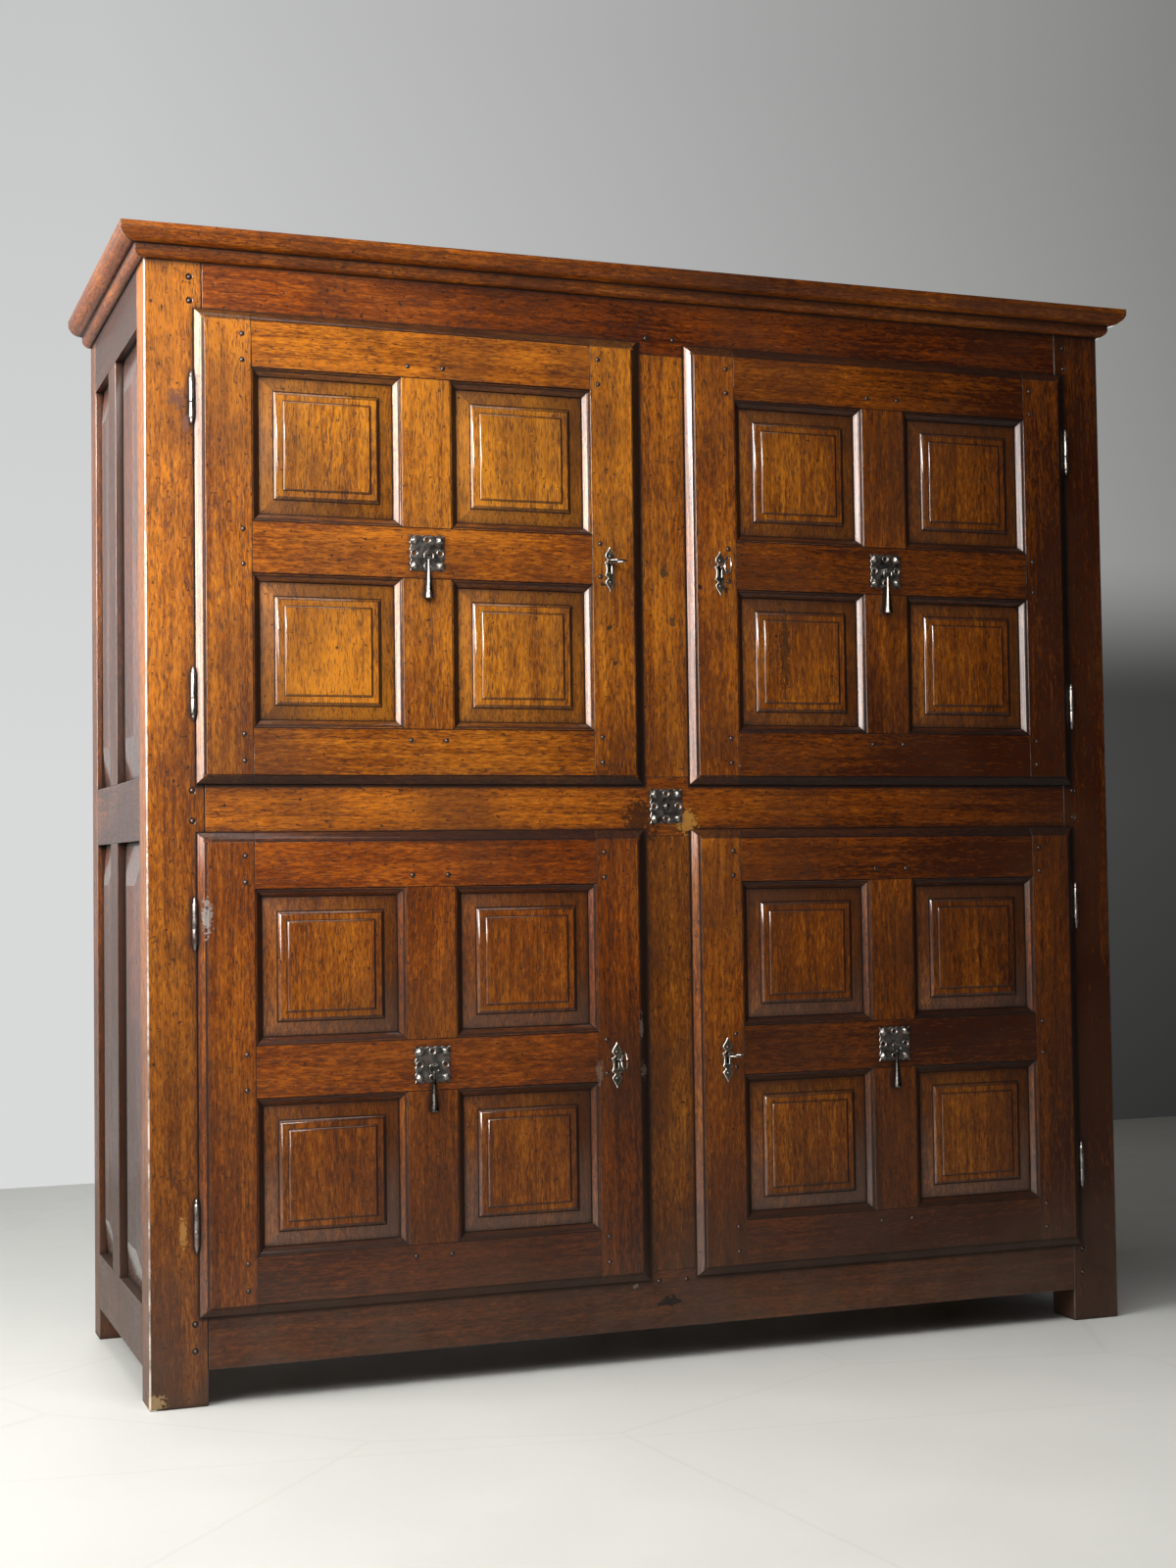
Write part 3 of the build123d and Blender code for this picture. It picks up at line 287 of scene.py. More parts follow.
def skin(mesh, low, high):
    """Faces between two rings of one size, or between a ring and a single vertex."""
    steps = max(len(low), len(high))
    for step in range(steps):
        nxt = (step + 1) % steps
        if len(low) == 1:
            mesh.faces.new((low[0], high[nxt], high[step]))
        elif len(high) == 1:
            mesh.faces.new((low[step], low[nxt], high[0]))
        else:
            mesh.faces.new((low[step], low[nxt], high[nxt], high[step]))


def lathe(mesh, profile, centre, axis, steps=28):
    """Turns a list of (radius, distance along the axis) into a closed round solid."""
    axis = Vector(axis).normalized()
    side = axis.orthogonal().normalized()
    other = axis.cross(side)
    rings = []
    for radius, height in profile:
        middle = centre + axis * height
        if radius <= 1e-7:
            rings.append([mesh.verts.new(middle)])
        else:
            rings.append(ring_of(mesh, middle, side, other, radius, steps))
    for low, high in zip(rings, rings[1:]):
        skin(mesh, low, high)


def wire(mesh, points, radii, closed=False, steps=10):
    """Sweeps a round section along points, with a radius for each."""
    count = len(points)
    rings = []
    side = None
    for index, point in enumerate(points):
        before = points[index - 1] if index > 0 or closed else point
        after = points[(index + 1) % count] if index < count - 1 or closed else point
        direction = (after - before).normalized()
        side = direction.orthogonal().normalized() if side is None else side
        side = (side - direction * side.dot(direction)).normalized()
        rings.append(ring_of(mesh, point, side, direction.cross(side), radii[index], steps))
    for low, high in zip(rings, rings[1:] + rings[:1] if closed else rings[1:]):
        skin(mesh, low, high)
    if not closed:
        mesh.faces.new(list(reversed(rings[0])))
        mesh.faces.new(rings[-1])


def box(mesh, one, two):
    """Adds a closed box between two opposite corners."""
    lo = Vector([min(a, b) for a, b in zip(one, two)])
    hi = Vector([max(a, b) for a, b in zip(one, two)])
    made = bmesh.ops.create_cube(mesh, size=1.0)
    centre, size = (lo + hi) / 2, hi - lo
    for vert in made["verts"]:
        vert.co = vert.co * size + centre


def cut_sheet(mesh, outer, holes, back, thickness):
    """Adds a flat sheet that faces the front, from (x, z) outlines, with its back at a depth."""
    sheet = bmesh.new()
    for loop in [outer] + holes:
        verts = [sheet.verts.new((x, back - thickness, z)) for x, z in loop]
        for index, vert in enumerate(verts):
            sheet.edges.new((vert, verts[(index + 1) % len(verts)]))
    bmesh.ops.triangle_fill(sheet, use_beauty=True, use_dissolve=False, edges=sheet.edges[:])
    made = bmesh.ops.extrude_face_region(sheet, geom=sheet.faces[:])
    for vert in [g for g in made["geom"] if isinstance(g, bmesh.types.BMVert)]:
        vert.co.y = back
    bmesh.ops.recalc_face_normals(sheet, faces=sheet.faces[:])
    data = bpy.data.meshes.new("sheet")
    sheet.to_mesh(data)
    sheet.free()
    mesh.from_mesh(data)
    bpy.data.meshes.remove(data)


def circle_points(x, z, radius, count):
    """(x, z) points round a circle."""
    turns = [2 * math.pi * index / count for index in range(count)]
    return [(x + radius * math.cos(t), z + radius * math.sin(t)) for t in turns]


def outward(mesh):
    """Merges doubles and turns all faces outwards."""
    bmesh.ops.remove_doubles(mesh, verts=mesh.verts, dist=1e-7)
    bmesh.ops.recalc_face_normals(mesh, faces=mesh.faces[:])
    for face in mesh.faces:
        face.smooth = True


# ---- Node trees ----------------------------------------------------------------------------------
class Graph:
    """Adds nodes to a tree and joins them."""

    def __init__(self, tree):
        self.tree = tree

    def add(self, kind, inputs=None, **settings):
        """A new node, with values or links for its inputs."""
        node = self.tree.nodes.new(kind)
        node.location = (190 * (len(self.tree.nodes) % 9), -260 * (len(self.tree.nodes) // 9))
        for key, value in settings.items():
            setattr(node, key, value)
        for key, value in (inputs or {}).items():
            self.put(node.inputs[key], value)
        return node

    def put(self, socket, value):
        """Links another socket to a socket, or sets its value."""
        if isinstance(value, bpy.types.NodeSocket):
            self.tree.links.new(value, socket)
        else:
            socket.default_value = value

    def math(self, operation, a, b=0.0, clamp=False):
        return self.add("ShaderNodeMath", {0: a, 1: b}, operation=operation, use_clamp=clamp).outputs[0]

    def times(self, value, factor):
        return self.math("MULTIPLY", value, factor)

    def plus(self, first, *others, clamp=False):
        """Adds two values or more. A clamp holds the last sum between 0 and 1."""
        for number, value in enumerate(others, 1):
            first = self.math("ADD", first, value, clamp and number == len(others))
        return first

    def minus(self, a, b, clamp=False):
        return self.math("SUBTRACT", a, b, clamp)

    def largest(self, *values):
        """The largest of two values or more."""
        return functools.reduce(lambda a, b: self.math("MAXIMUM", a, b), values)

    def vector(self, operation, a, b):
        return self.add("ShaderNodeVectorMath", {0: a, 1: b}, operation=operation).outputs[0]

    def split(self, vector):
        """The X, Y and Z of a vector."""
        return self.add("ShaderNodeSeparateXYZ", {0: vector}).outputs

    def mix(self, factor, a, b, blend="MIX"):
        node = self.add("ShaderNodeMix", {0: factor, 6: a, 7: b}, data_type="RGBA", blend_type=blend)
        return node.outputs[2]

    def layered(self, colour, *layers):
        """Lays colours over a colour, each by its mask."""
        for mask, tint in layers:
            colour = self.mix(mask, colour, (*tint, 1))
        return colour

    def remap(self, value, low, high, to_low=0.0, to_high=1.0, smooth=False):
        """Stretches a range of a value to another range, and holds it inside that."""
        node = self.add("ShaderNodeMapRange", {0: value, 1: low, 2: high, 3: to_low, 4: to_high})
        node.interpolation_type = "SMOOTHSTEP" if smooth else "LINEAR"
        return node.outputs[0]

    def noise(self, vector, scale, detail, rough, distortion=0.0):
        return self.add("ShaderNodeTexNoise", {
            "Vector": vector, "Scale": scale, "Detail": detail, "Roughness": rough,
            "Distortion": distortion,
        }).outputs[0]

    def strands(self, grain, across, along, detail, rough, distortion=0.0):
        """Noise that is drawn out along the grain."""
        drawn = self.vector("MULTIPLY", grain, (across, across, along))
        return self.noise(drawn, 1.0, detail, rough, distortion)

    def place(self):
        """Coordinates of the object."""
        return self.add("ShaderNodeTexCoord").outputs["Object"]

    def mark(self, name, output="Fac"):
        """A mark that is stored on the mesh."""
        return self.add("ShaderNodeAttribute", attribute_name=name).outputs[output]

    def open_air(self, distance, samples):
        """How open a place is within a distance: 1 where it is free, less in corners."""
        return self.add("ShaderNodeAmbientOcclusion", {"Distance": distance}, samples=samples).outputs["AO"]

    def bump(self, height, strength, distance):
        inputs = {"Strength": strength, "Distance": distance, "Height": height}
        return self.add("ShaderNodeBump", inputs).outputs[0]

    def group(self, tree, inputs):
        """The outputs of a shader group."""
        return self.add("ShaderNodeGroup", inputs, node_tree=tree).outputs

    def surface(self, inputs):
        """Ends a material in a Principled shader."""
        shader = self.add("ShaderNodeBsdfPrincipled", inputs)
        self.add("ShaderNodeOutputMaterial", {"Surface": shader.outputs[0]})


def built_once(name):
    """Makes a function build its node group the first time, and give back the same group after that."""
    def wrap(build):
        @functools.wraps(build)
        def tree():
            return bpy.data.node_groups.get(name) or build(name)
        return tree
    return wrap


def shader_group(name, inputs, outputs):
    """A graph in a new shader group, the group's inputs, and its output node."""
    tree = bpy.data.node_groups.new(name, "ShaderNodeTree")
    for label, default in inputs.items():
        kind = "NodeSocketVector" if default is None else "NodeSocketFloat"
        socket = tree.interface.new_socket(label, in_out="INPUT", socket_type=kind)
        if default is not None:
            socket.default_value = default
    for label in outputs:
        tree.interface.new_socket(label, in_out="OUTPUT", socket_type="NodeSocketFloat")
    graph = Graph(tree)
    return graph, graph.add("NodeGroupInput").outputs, graph.add("NodeGroupOutput")


def give(graph, outside, values):
    """Joins values to the outputs of a group, and gives back its tree."""
    for label, value in values.items():
        graph.put(outside.inputs[label], value)
    return graph.tree


@built_once("Wood figure")
def wood_figure(name):
    """Group: streaks, rings and open pores of a board, from its grain coordinates."""
    graph, inside, outside = shader_group(
        name, {"Grain": None, "Ring Scale": 14.0, "Waviness": 0.016},
        ("Streaks", "Rings", "Pores", "Clouds", "Height"))
    slow = graph.vector("MULTIPLY", inside["Grain"], (5.0, 5.0, 1.6))
    warp = graph.add("ShaderNodeTexNoise", {"Vector": slow, "Scale": 1.0, "Detail": 2.0})
    warp = graph.vector("SUBTRACT", warp.outputs["Color"], (0.5, 0.5, 0.5))
    warp = graph.add("ShaderNodeVectorMath", {0: warp, "Scale": inside["Waviness"]}, operation="SCALE")
    bent = graph.vector("ADD", inside["Grain"], warp.outputs[0])
    streaks = graph.strands(bent, 95.0, 4.2, 6.0, 0.68)
    fine = graph.strands(bent, 240.0, 52.0, 4.0, 0.7, 0.6)
    clouds = graph.strands(bent, 7.5, 2.6, 3.0, 0.5)
    rings = graph.add("ShaderNodeTexWave", {
        "Vector": graph.vector("MULTIPLY", bent, (1.0, 1.0, 0.10)), "Scale": inside["Ring Scale"],
        "Distortion": 5.0, "Detail": 3.0, "Detail Scale": 1.2, "Detail Roughness": 0.6,
    }, wave_type="RINGS", rings_direction="Z", wave_profile="SAW").outputs["Fac"]
    open_rings = graph.remap(rings, 0.0, 1.0, 0.035, -0.02)
    pores = graph.plus(graph.strands(bent, 620.0, 62.0, 2.0, 0.5), open_rings)
    flecks = graph.strands(bent, 250.0, 34.0, 3.0, 0.6, 0.4)
    pores = graph.largest(graph.remap(pores, 0.56, 0.64), graph.remap(flecks, 0.56, 0.66, 0.0, 0.62))
    mixed = graph.minus(graph.plus(graph.times(streaks, 0.60), graph.times(fine, 0.95)), 0.265)
    height = graph.minus(mixed, graph.times(pores, 0.9))
    return give(graph, outside, {
        "Streaks": mixed, "Rings": rings, "Pores": pores, "Clouds": clouds, "Height": height})


@built_once("Age marks")
def age_marks(name):
    """Group: rubbed edges, dents, stains, floor dust and a darkening towards the bottom, from object
    coordinates and the edge mask.
    """
    graph, inside, outside = shader_group(
        name, {"Place": None, "Edge": 0.0}, ("Rubbed", "Stains", "Dust", "Dents", "Smears", "Low Darkening"))
    place = inside["Place"]
    rubbed = graph.times(inside["Edge"], graph.remap(graph.noise(place, 38.0, 4.0, 0.6), 0.42, 0.62))
    stains = graph.remap(graph.noise(place, 6.5, 4.0, 0.62), 0.58, 0.72)
    height = graph.split(place)["Z"]
    near_floor = graph.remap(height, 0.02, 0.30, 1.0, 0.0, smooth=True)
    dust = graph.times(near_floor, graph.remap(graph.noise(place, 9.0, 5.0, 0.65), 0.25, 0.65))
    dents = graph.remap(graph.noise(place, 140.0, 2.0, 0.5), 0.66, 0.72)
    cells = graph.add("ShaderNodeTexVoronoi", {"Vector": place, "Scale": 17.0, "Randomness": 1.0})
    here_and_there = graph.math("GREATER_THAN", graph.noise(place, 2.2, 2.0, 0.5), 0.53)
    holes = graph.times(graph.remap(cells.outputs["Distance"], 0.035, 0.06, 1.0, 0.0), here_and_there)
    return give(graph, outside, {
        "Rubbed": rubbed, "Stains": stains, "Dust": dust, "Dents": graph.largest(dents, holes),
        "Smears": graph.noise(place, 4.2, 5.0, 0.6),
        "Low Darkening": graph.remap(height, 0.05, 1.15, 1.0, 0.0, smooth=True)})


@built_once("Dirt round the doors")
def door_shadow(name):
    """Group: a painted shadow on the frame along the edges of the doors, widest at the right, then below,
    narrow elsewhere.
    """
    graph, inside, outside = shader_group(
        name, {"Place": None, "Half Width": 0.378, "Right": 0.011, "Below": 0.009, "Elsewhere": 0.003},
        ("Dirt",))
    place = graph.split(inside["Place"])

    def past_edge(distance, reach):
        """How far a place lies past an edge of a door, as a share of the painted shadow's reach there."""
        return graph.math("DIVIDE", graph.minus(distance, inside["Half Width"]), inside[reach])

    near = []
    for door in DOORS:
        lo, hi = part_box(door + "_door_uprights")
        across = graph.minus(place["X"], (lo.x + hi.x) / 2)
        up = graph.minus(place["Z"], (lo.z + hi.z) / 2)
        level = graph.largest(past_edge(across, "Right"), past_edge(graph.times(across, -1.0), "Elsewhere"))
        upright = graph.largest(past_edge(graph.times(up, -1.0), "Below"), past_edge(up, "Elsewhere"))
        near.append(graph.remap(graph.largest(level, upright), 0.35, 1.0, 1.0, 0.0, smooth=True))
    in_front = graph.math("LESS_THAN", place["Y"], FRAME_FACE + 3 * MM)
    return give(graph, outside, {"Dirt": graph.times(graph.largest(*near), in_front)})


@built_once("Ragged spot")
def ragged_spot(name):
    """Group: the mask of a ragged spot, from its middle and its half widths."""
    graph, inside, outside = shader_group(
        name, {"Place": None, "Middle": None, "Reach": None, "Breakup": 0.5}, ("Mask",))
    away = graph.vector("SUBTRACT", inside["Place"], inside["Middle"])
    away = graph.vector("DIVIDE", away, inside["Reach"])
    far = graph.add("ShaderNodeVectorMath", {0: away}, operation="LENGTH").outputs["Value"]
    torn = graph.times(graph.minus(inside["Breakup"], 0.5), 3.2)
    return give(graph, outside, {"Mask": graph.remap(graph.plus(far, torn), 0.72, 1.02, 1.0, 0.0)})


# ---- Single marks --------------------------------------------------------------------------------
SPOT_DEPTH = 20 * MM  # how far a mark reaches to the front and to the back


def spots_at(depth, *spots):
    """Middle, half widths, colour and weight of single marks at one depth, in metres."""
    return tuple(((x, depth, z), (half_x, SPOT_DEPTH, half_z), colour, weight)
                 for x, z, half_x, half_z, colour, weight in spots)


FRAME_SPOTS = spots_at(
    FRAME_FACE,
    # A scar beside the upper left hinge, in two parts
    (-0.827, 1.582, 0.013, 0.017, (0.12, 0.050, 0.036), 0.70),
    (-0.8125, 1.543, 0.006, 0.018, (0.16, 0.075, 0.055), 0.70),
    # Bare wood beside the lowest left hinge, and the chipped left foot
    (-0.824, 0.271, 0.0055, 0.026, (0.42, 0.21, 0.055), 0.80),
    (-0.868, 0.012, 0.016, 0.014, (0.42, 0.28, 0.13), 0.75),
    # Pale traces right of the rosette, and dark ones left of it
    (0.0363, 0.9085, 0.022, 0.020, (0.46, 0.23, 0.045), 0.80),
    (-0.046, 0.912, 0.034, 0.036, (0.020, 0.008, 0.004), 0.75),
    # A knot and a pale chip on the bottom rail
    (-0.0077, 0.099, 0.024, 0.009, (0.010, 0.007, 0.006), 0.92),
    (-0.0676, 0.130, 0.005, 0.006, (0.20, 0.15, 0.12), 0.70),
    # Two plugs in the muntin between the upper doors
    (0.0016, 1.334, 0.006, 0.008, (0.045, 0.030, 0.012), 0.75),
    (0.0165, 1.249, 0.006, 0.008, (0.030, 0.022, 0.014), 0.75),
)
DOOR_SPOTS = (
    # Scuffs round the lock of the lower left door
    *spots_at(DOOR_FACE,
              (-0.1322, 0.4906, 0.006, 0.019, (0.19, 0.13, 0.09), 0.70),
              (-0.0512, 0.4902, 0.006, 0.012, (0.17, 0.12, 0.09), 0.65),
              (-0.0554, 0.5626, 0.004, 0.019, (0.17, 0.13, 0.10), 0.70),
              # A stray nail and two plugs by the lock of the upper left door
              (-0.1148, 1.3087, 0.0045, 0.0045, (0.012, 0.010, 0.009), 0.95),
              (-0.1035, 1.2344, 0.0055, 0.0050, (0.020, 0.012, 0.008), 0.85),
              (-0.0938, 1.1766, 0.0055, 0.0050, (0.020, 0.012, 0.008), 0.85)),
    # A grey patch on the lip of the lower left door
    *spots_at(DOOR_FACE + 6 * MM, (-0.7853, 0.7616, 0.008, 0.030, (0.30, 0.285, 0.27), 0.70)),
    # A dark place at the foot of the upper left door, and two stray nails by the lock of the upper right
    *spots_at(DOOR_FACE,
              (-0.1182, 0.9583, 0.024, 0.050, (0.020, 0.010, 0.006), 0.50),
              (0.0630, 1.3095, 0.0050, 0.0050, (0.012, 0.010, 0.009), 0.95),
              (0.1125, 1.3061, 0.0045, 0.0045, (0.012, 0.010, 0.009), 0.95)),
    # A dark streak down a panel of the upper right door
    *spots_at(DOOR_FACE + 4 * MM, (0.2222, 1.1988, 0.010, 0.085, (0.016, 0.008, 0.005), 0.60)),
)
CHIP_AND_HIGHLIGHT_EDGE = -866 * MM  # left of this, the edge of the front post is chipped and carries a painted highlight

# Colours that age lays over the wood and the iron, and colours of painted shade and of a painted highlight
PORE = (0.022, 0.008, 0.004)
STAIN = (0.030, 0.010, 0.005)
THICK_WAX = (0.070, 0.020, 0.005)
# Painted shade on the bevels of the panels turned from the light
SLOPE_SHADE = (0.075, 0.026, 0.007)
RUBBED_EDGE = (0.42, 0.20, 0.085)
# Broad painted shade near recesses, unevenly laid
BROAD_SHADE = (0.034, 0.012, 0.005)
# Painted shade in corners and on sides turned from the light, with grimy deposits
SHADE_AND_GRIME = (0.006, 0.0025, 0.0015)
DENT = (0.016, 0.008, 0.005)
# Darker towards the bottom
LOW_DARKENING = (0.030, 0.013, 0.006)
DUST = (0.105, 0.066, 0.044)
# Pale chipped wood with a painted highlight
CHIP_AND_HIGHLIGHT = (0.80, 0.72, 0.64)
RUST = (0.13, 0.048, 0.020)


# ---- Materials -----------------------------------------------------------------------------------
def new_material(name):
    """An empty node material and its graph."""
    material = bpy.data.materials.new(name)
    material.use_nodes = True
    material.node_tree.nodes.clear()
    return material, Graph(material.node_tree)


def add_spots(graph, place, colour, spots):
    """Lays single marks over a colour."""
    breakup = graph.noise(place, 170.0, 3.0, 0.6)
    for middle, reach, tint, weight in spots:
        spot = graph.group(ragged_spot(), {
            "Place": place, "Middle": middle, "Reach": reach, "Breakup": breakup})
        colour = graph.layered(colour, (graph.times(spot["Mask"], weight), tint))
    return colour


def add_chips_and_highlight(graph, place, colour, worn):
    """Pale chipped wood and a painted highlight along the left edge of the front post."""
    at_edge = graph.math("LESS_THAN", graph.split(place)["X"], CHIP_AND_HIGHLIGHT_EDGE)
    torn = graph.remap(graph.noise(place, 26.0, 4.0, 0.6), 0.44, 0.58, 0.25, 1.0)
    chips_and_highlight = graph.times(graph.times(at_edge, worn), torn)
    return graph.layered(colour, (graph.times(chips_and_highlight, 0.75), CHIP_AND_HIGHLIGHT))


def clean_colour(graph, figure, wood):
    """The colour of clean walnut, from its figure and from each board's tone and warmth."""
    shade = graph.plus(
        graph.times(figure["Streaks"], 1.30), graph.times(figure["Rings"], 0.09),
        graph.times(figure["Clouds"], 0.90), graph.times(graph.mark("tone"), 0.55))
    ramp = graph.add("ShaderNodeValToRGB", {0: graph.minus(shade, 0.642)})
    first, last = ramp.color_ramp.elements
    first.position, first.color = 0.12, (*wood.dark, 1)
    last.position, last.color = 0.92, (*wood.light, 1)
    ramp.color_ramp.elements.new(0.50).color = (*wood.middle, 1)
    redder = graph.mix(1.0, ramp.outputs[0], (1.06, 0.74, 0.55, 1), "MULTIPLY")
    yellower = graph.mix(1.0, ramp.outputs[0], (1.02, 1.14, 0.92, 1), "MULTIPLY")
    return graph.mix(graph.remap(graph.mark("warmth"), -1.0, 1.0), redder, yellower)


def shade_and_grime_mask(graph, place, worn, on_frame):
    """Where painted shade and grimy deposits lie: painted shade in corners, on the sides of mouldings turned
    from the light and, on the frame, round the doors; grimy deposits in corners and on ledges.
    """
    # Painted shade in corners, where the surface is hemmed in
    open_air = graph.minus(graph.open_air(10 * MM, 6), graph.times(worn, 0.16))
    shade_and_grime = graph.remap(open_air, 0.62, 0.93, 0.96, 0.0)
    shade_and_grime = graph.largest(shade_and_grime, graph.times(graph.mark("shade_and_dirt"), 0.97))
    # A painted shadow round the doors
    if on_frame:
        lines = graph.group(door_shadow(), {"Place": place})
        shade_and_grime = graph.largest(shade_and_grime, graph.times(lines["Dirt"], 0.95))
    # Grimy deposits on ledges
    return graph.largest(shade_and_grime, graph.remap(graph.mark("ledge"), 0.25, 0.9, 0.0, 0.72))


def wax_weight(graph, grain, shade_and_grime, wax):
    """Weight of the wax coat: full on polished parts, little on the rest and where painted shade and grimy
    deposits lie.
    """
    fibres = graph.strands(grain, 520.0, 5.0, 2.0, 0.5)
    polish = graph.times(graph.mark("polish"), graph.remap(fibres, 0.36, 0.60, 0.42, 1.0))
    polish = graph.remap(polish, 0.0, 1.0, wax * 0.20, wax)
    return graph.times(polish, graph.remap(shade_and_grime, 0.0, 1.0, 1.0, 0.08))


def waxed_wood(name, spots, on_frame):
    """Old wood under wax: figure, tone for each board, painted shade with grimy deposits in corners, painted
    shade on sides turned from the light, rubbed edges and dust.
    """
    wood = bpy.context.scene.cupboard.wood
    material, graph = new_material(name)
    place, grain, worn = graph.place(), graph.mark("grain", "Vector"), graph.mark("worn")
    figure = graph.group(wood_figure(), {"Grain": grain})
    marks = graph.group(age_marks(), {"Place": place, "Edge": worn})
    smears, pores = marks["Smears"], figure["Pores"]
    shade_and_grime = shade_and_grime_mask(graph, place, worn, on_frame)
    # Painted shade on the bevels, uneven
    slope = graph.times(graph.mark("slope"), graph.remap(smears, 0.35, 0.6, 0.35, 0.60))
    # Broad painted shade wherever the surface is hemmed in within 55 mm, broken up unevenly
    broad_shade = graph.times(graph.remap(graph.open_air(55 * MM, 4), 0.45, 0.97, 0.62, 0.0),
                        graph.remap(smears, 0.3, 0.6, 0.5, 1.0))
    colour = graph.layered(
        clean_colour(graph, figure, wood),
        (graph.times(pores, 0.68), PORE),
        (graph.times(marks["Stains"], 0.45), STAIN),
        (graph.remap(smears, 0.45, 0.62, 0.0, 0.50), THICK_WAX),
        (slope, SLOPE_SHADE),
        (graph.times(marks["Rubbed"], 0.38), RUBBED_EDGE),
        (broad_shade, BROAD_SHADE),
        (shade_and_grime, SHADE_AND_GRIME),
        (graph.times(marks["Dents"], 0.8), DENT),
        (graph.times(marks["Low Darkening"], 0.42), LOW_DARKENING),
        (graph.times(marks["Dust"], 0.50), DUST),
    )
    colour = add_spots(graph, place, colour, spots)
    if on_frame:
        colour = add_chips_and_highlight(graph, place, colour, worn)
    rough = graph.plus(
        graph.remap(smears, 0.3, 0.7, wood.gloss - 0.07, wood.gloss + 0.10),
        graph.times(marks["Dust"], 0.28), graph.times(shade_and_grime, 0.25), graph.times(pores, 0.12), clamp=True)
    waves = graph.times(graph.noise(place, 24.0, 2.0, 0.5), 1.6)
    height = graph.minus(graph.plus(graph.times(figure["Height"], 0.35), waves),
                         graph.times(marks["Dents"], 0.5))
    graph.surface({
        "Base Color": colour, "Roughness": rough, "Normal": graph.bump(height, 0.5, 1 * MM), "IOR": 1.5,
        "Specular IOR Level": 0.10, "Coat Weight": wax_weight(graph, grain, shade_and_grime, wood.wax),
        "Coat Roughness": 0.11, "Coat IOR": 1.6,
    })
    return material


def sawn_wood(name, dark, light):
    """Unpolished boards of the back, top and inside, with painted shade in their corners."""
    material, graph = new_material(name)
    figure = graph.group(wood_figure(), {"Ring Scale": 9.0, "Grain": graph.mark("grain", "Vector")})
    streaks = figure["Streaks"]
    shade = graph.plus(streaks, graph.times(figure["Clouds"], 0.6), graph.times(graph.mark("tone"), 0.6))
    colour = graph.layered(
        graph.mix(graph.remap(shade, 0.35, 1.15), (*dark, 1), (*light, 1)),
        (graph.times(figure["Pores"], 0.5), (0.03, 0.018, 0.012)),
        # Painted shade in corners
        (graph.remap(graph.open_air(20 * MM, 4), 0.35, 0.8, 0.7, 0.0), (0.02, 0.012, 0.008)),
        (graph.remap(graph.noise(graph.place(), 5.0, 4.0, 0.6), 0.4, 0.7, 0.0, 0.35), (0.11, 0.095, 0.08)),
    )
    graph.surface({
        "Base Color": colour, "Roughness": graph.remap(streaks, 0.2, 0.8, 0.70, 0.90),
        "Normal": graph.bump(figure["Height"], 0.6, 1 * MM),
    })
    return material


def peg_wood(name):
    """Dark end grain of the pegs."""
    material, graph = new_material(name)
    fleck = graph.noise(graph.place(), 900.0, 2.0, 0.6)
    body = graph.remap(graph.noise(graph.place(), 17.0, 2.0, 0.5), 0.35, 0.65)
    colour = graph.layered(
        graph.mix(body, (0.020, 0.008, 0.004, 1), (0.065, 0.024, 0.009, 1)),
        (graph.remap(fleck, 0.45, 0.70, 0.0, 0.6), (0.02, 0.009, 0.005)),
    )
    graph.surface({
        "Base Color": colour, "Roughness": graph.remap(fleck, 0.3, 0.7, 0.22, 0.40),
        "Normal": graph.bump(fleck, 0.5, 0.4 * MM), "Specular IOR Level": 0.4, "Coat Weight": 0.15,
        "Coat Roughness": 0.2,
    })
    return material


def forged_iron(name, dark, rubbed, metal, gloss, rust, edge=None, spread=0.22, beaten=0.55, coat=0.7):
    """Iron from the forge: hammered, darkened, rubbed bright where hands and edges touch it."""
    material, graph = new_material(name)
    place = graph.place()
    hammer = graph.noise(place, 210.0, 2.0, 0.5)
    blotch = graph.noise(place, 85.0, 4.0, 0.6)
    rusty = graph.times(graph.remap(graph.noise(place, 60.0, 5.0, 0.65), 0.52, 0.68), rust)
    colour = graph.layered(
        graph.mix(graph.remap(blotch, 0.35, 0.68), (*dark, 1), (*rubbed, 1)),
        (graph.times(graph.mark("worn"), graph.remap(blotch, 0.30, 0.55, 0.35, 1.0)),
         edge or [channel * 2.1 for channel in rubbed]),
        (rusty, RUST),
    )
    height = graph.plus(graph.times(hammer, 1.0), graph.times(blotch, 0.4))
    graph.surface({
        "Base Color": colour, "Roughness": graph.remap(blotch, 0.3, 0.7, gloss, gloss + spread),
        "Metallic": graph.minus(metal, graph.times(rusty, 0.7), clamp=True),
        "Normal": graph.bump(height, beaten, 0.7 * MM), "Coat Weight": coat, "Coat Roughness": 0.16,
        "Coat IOR": 1.7,
    })
    return material


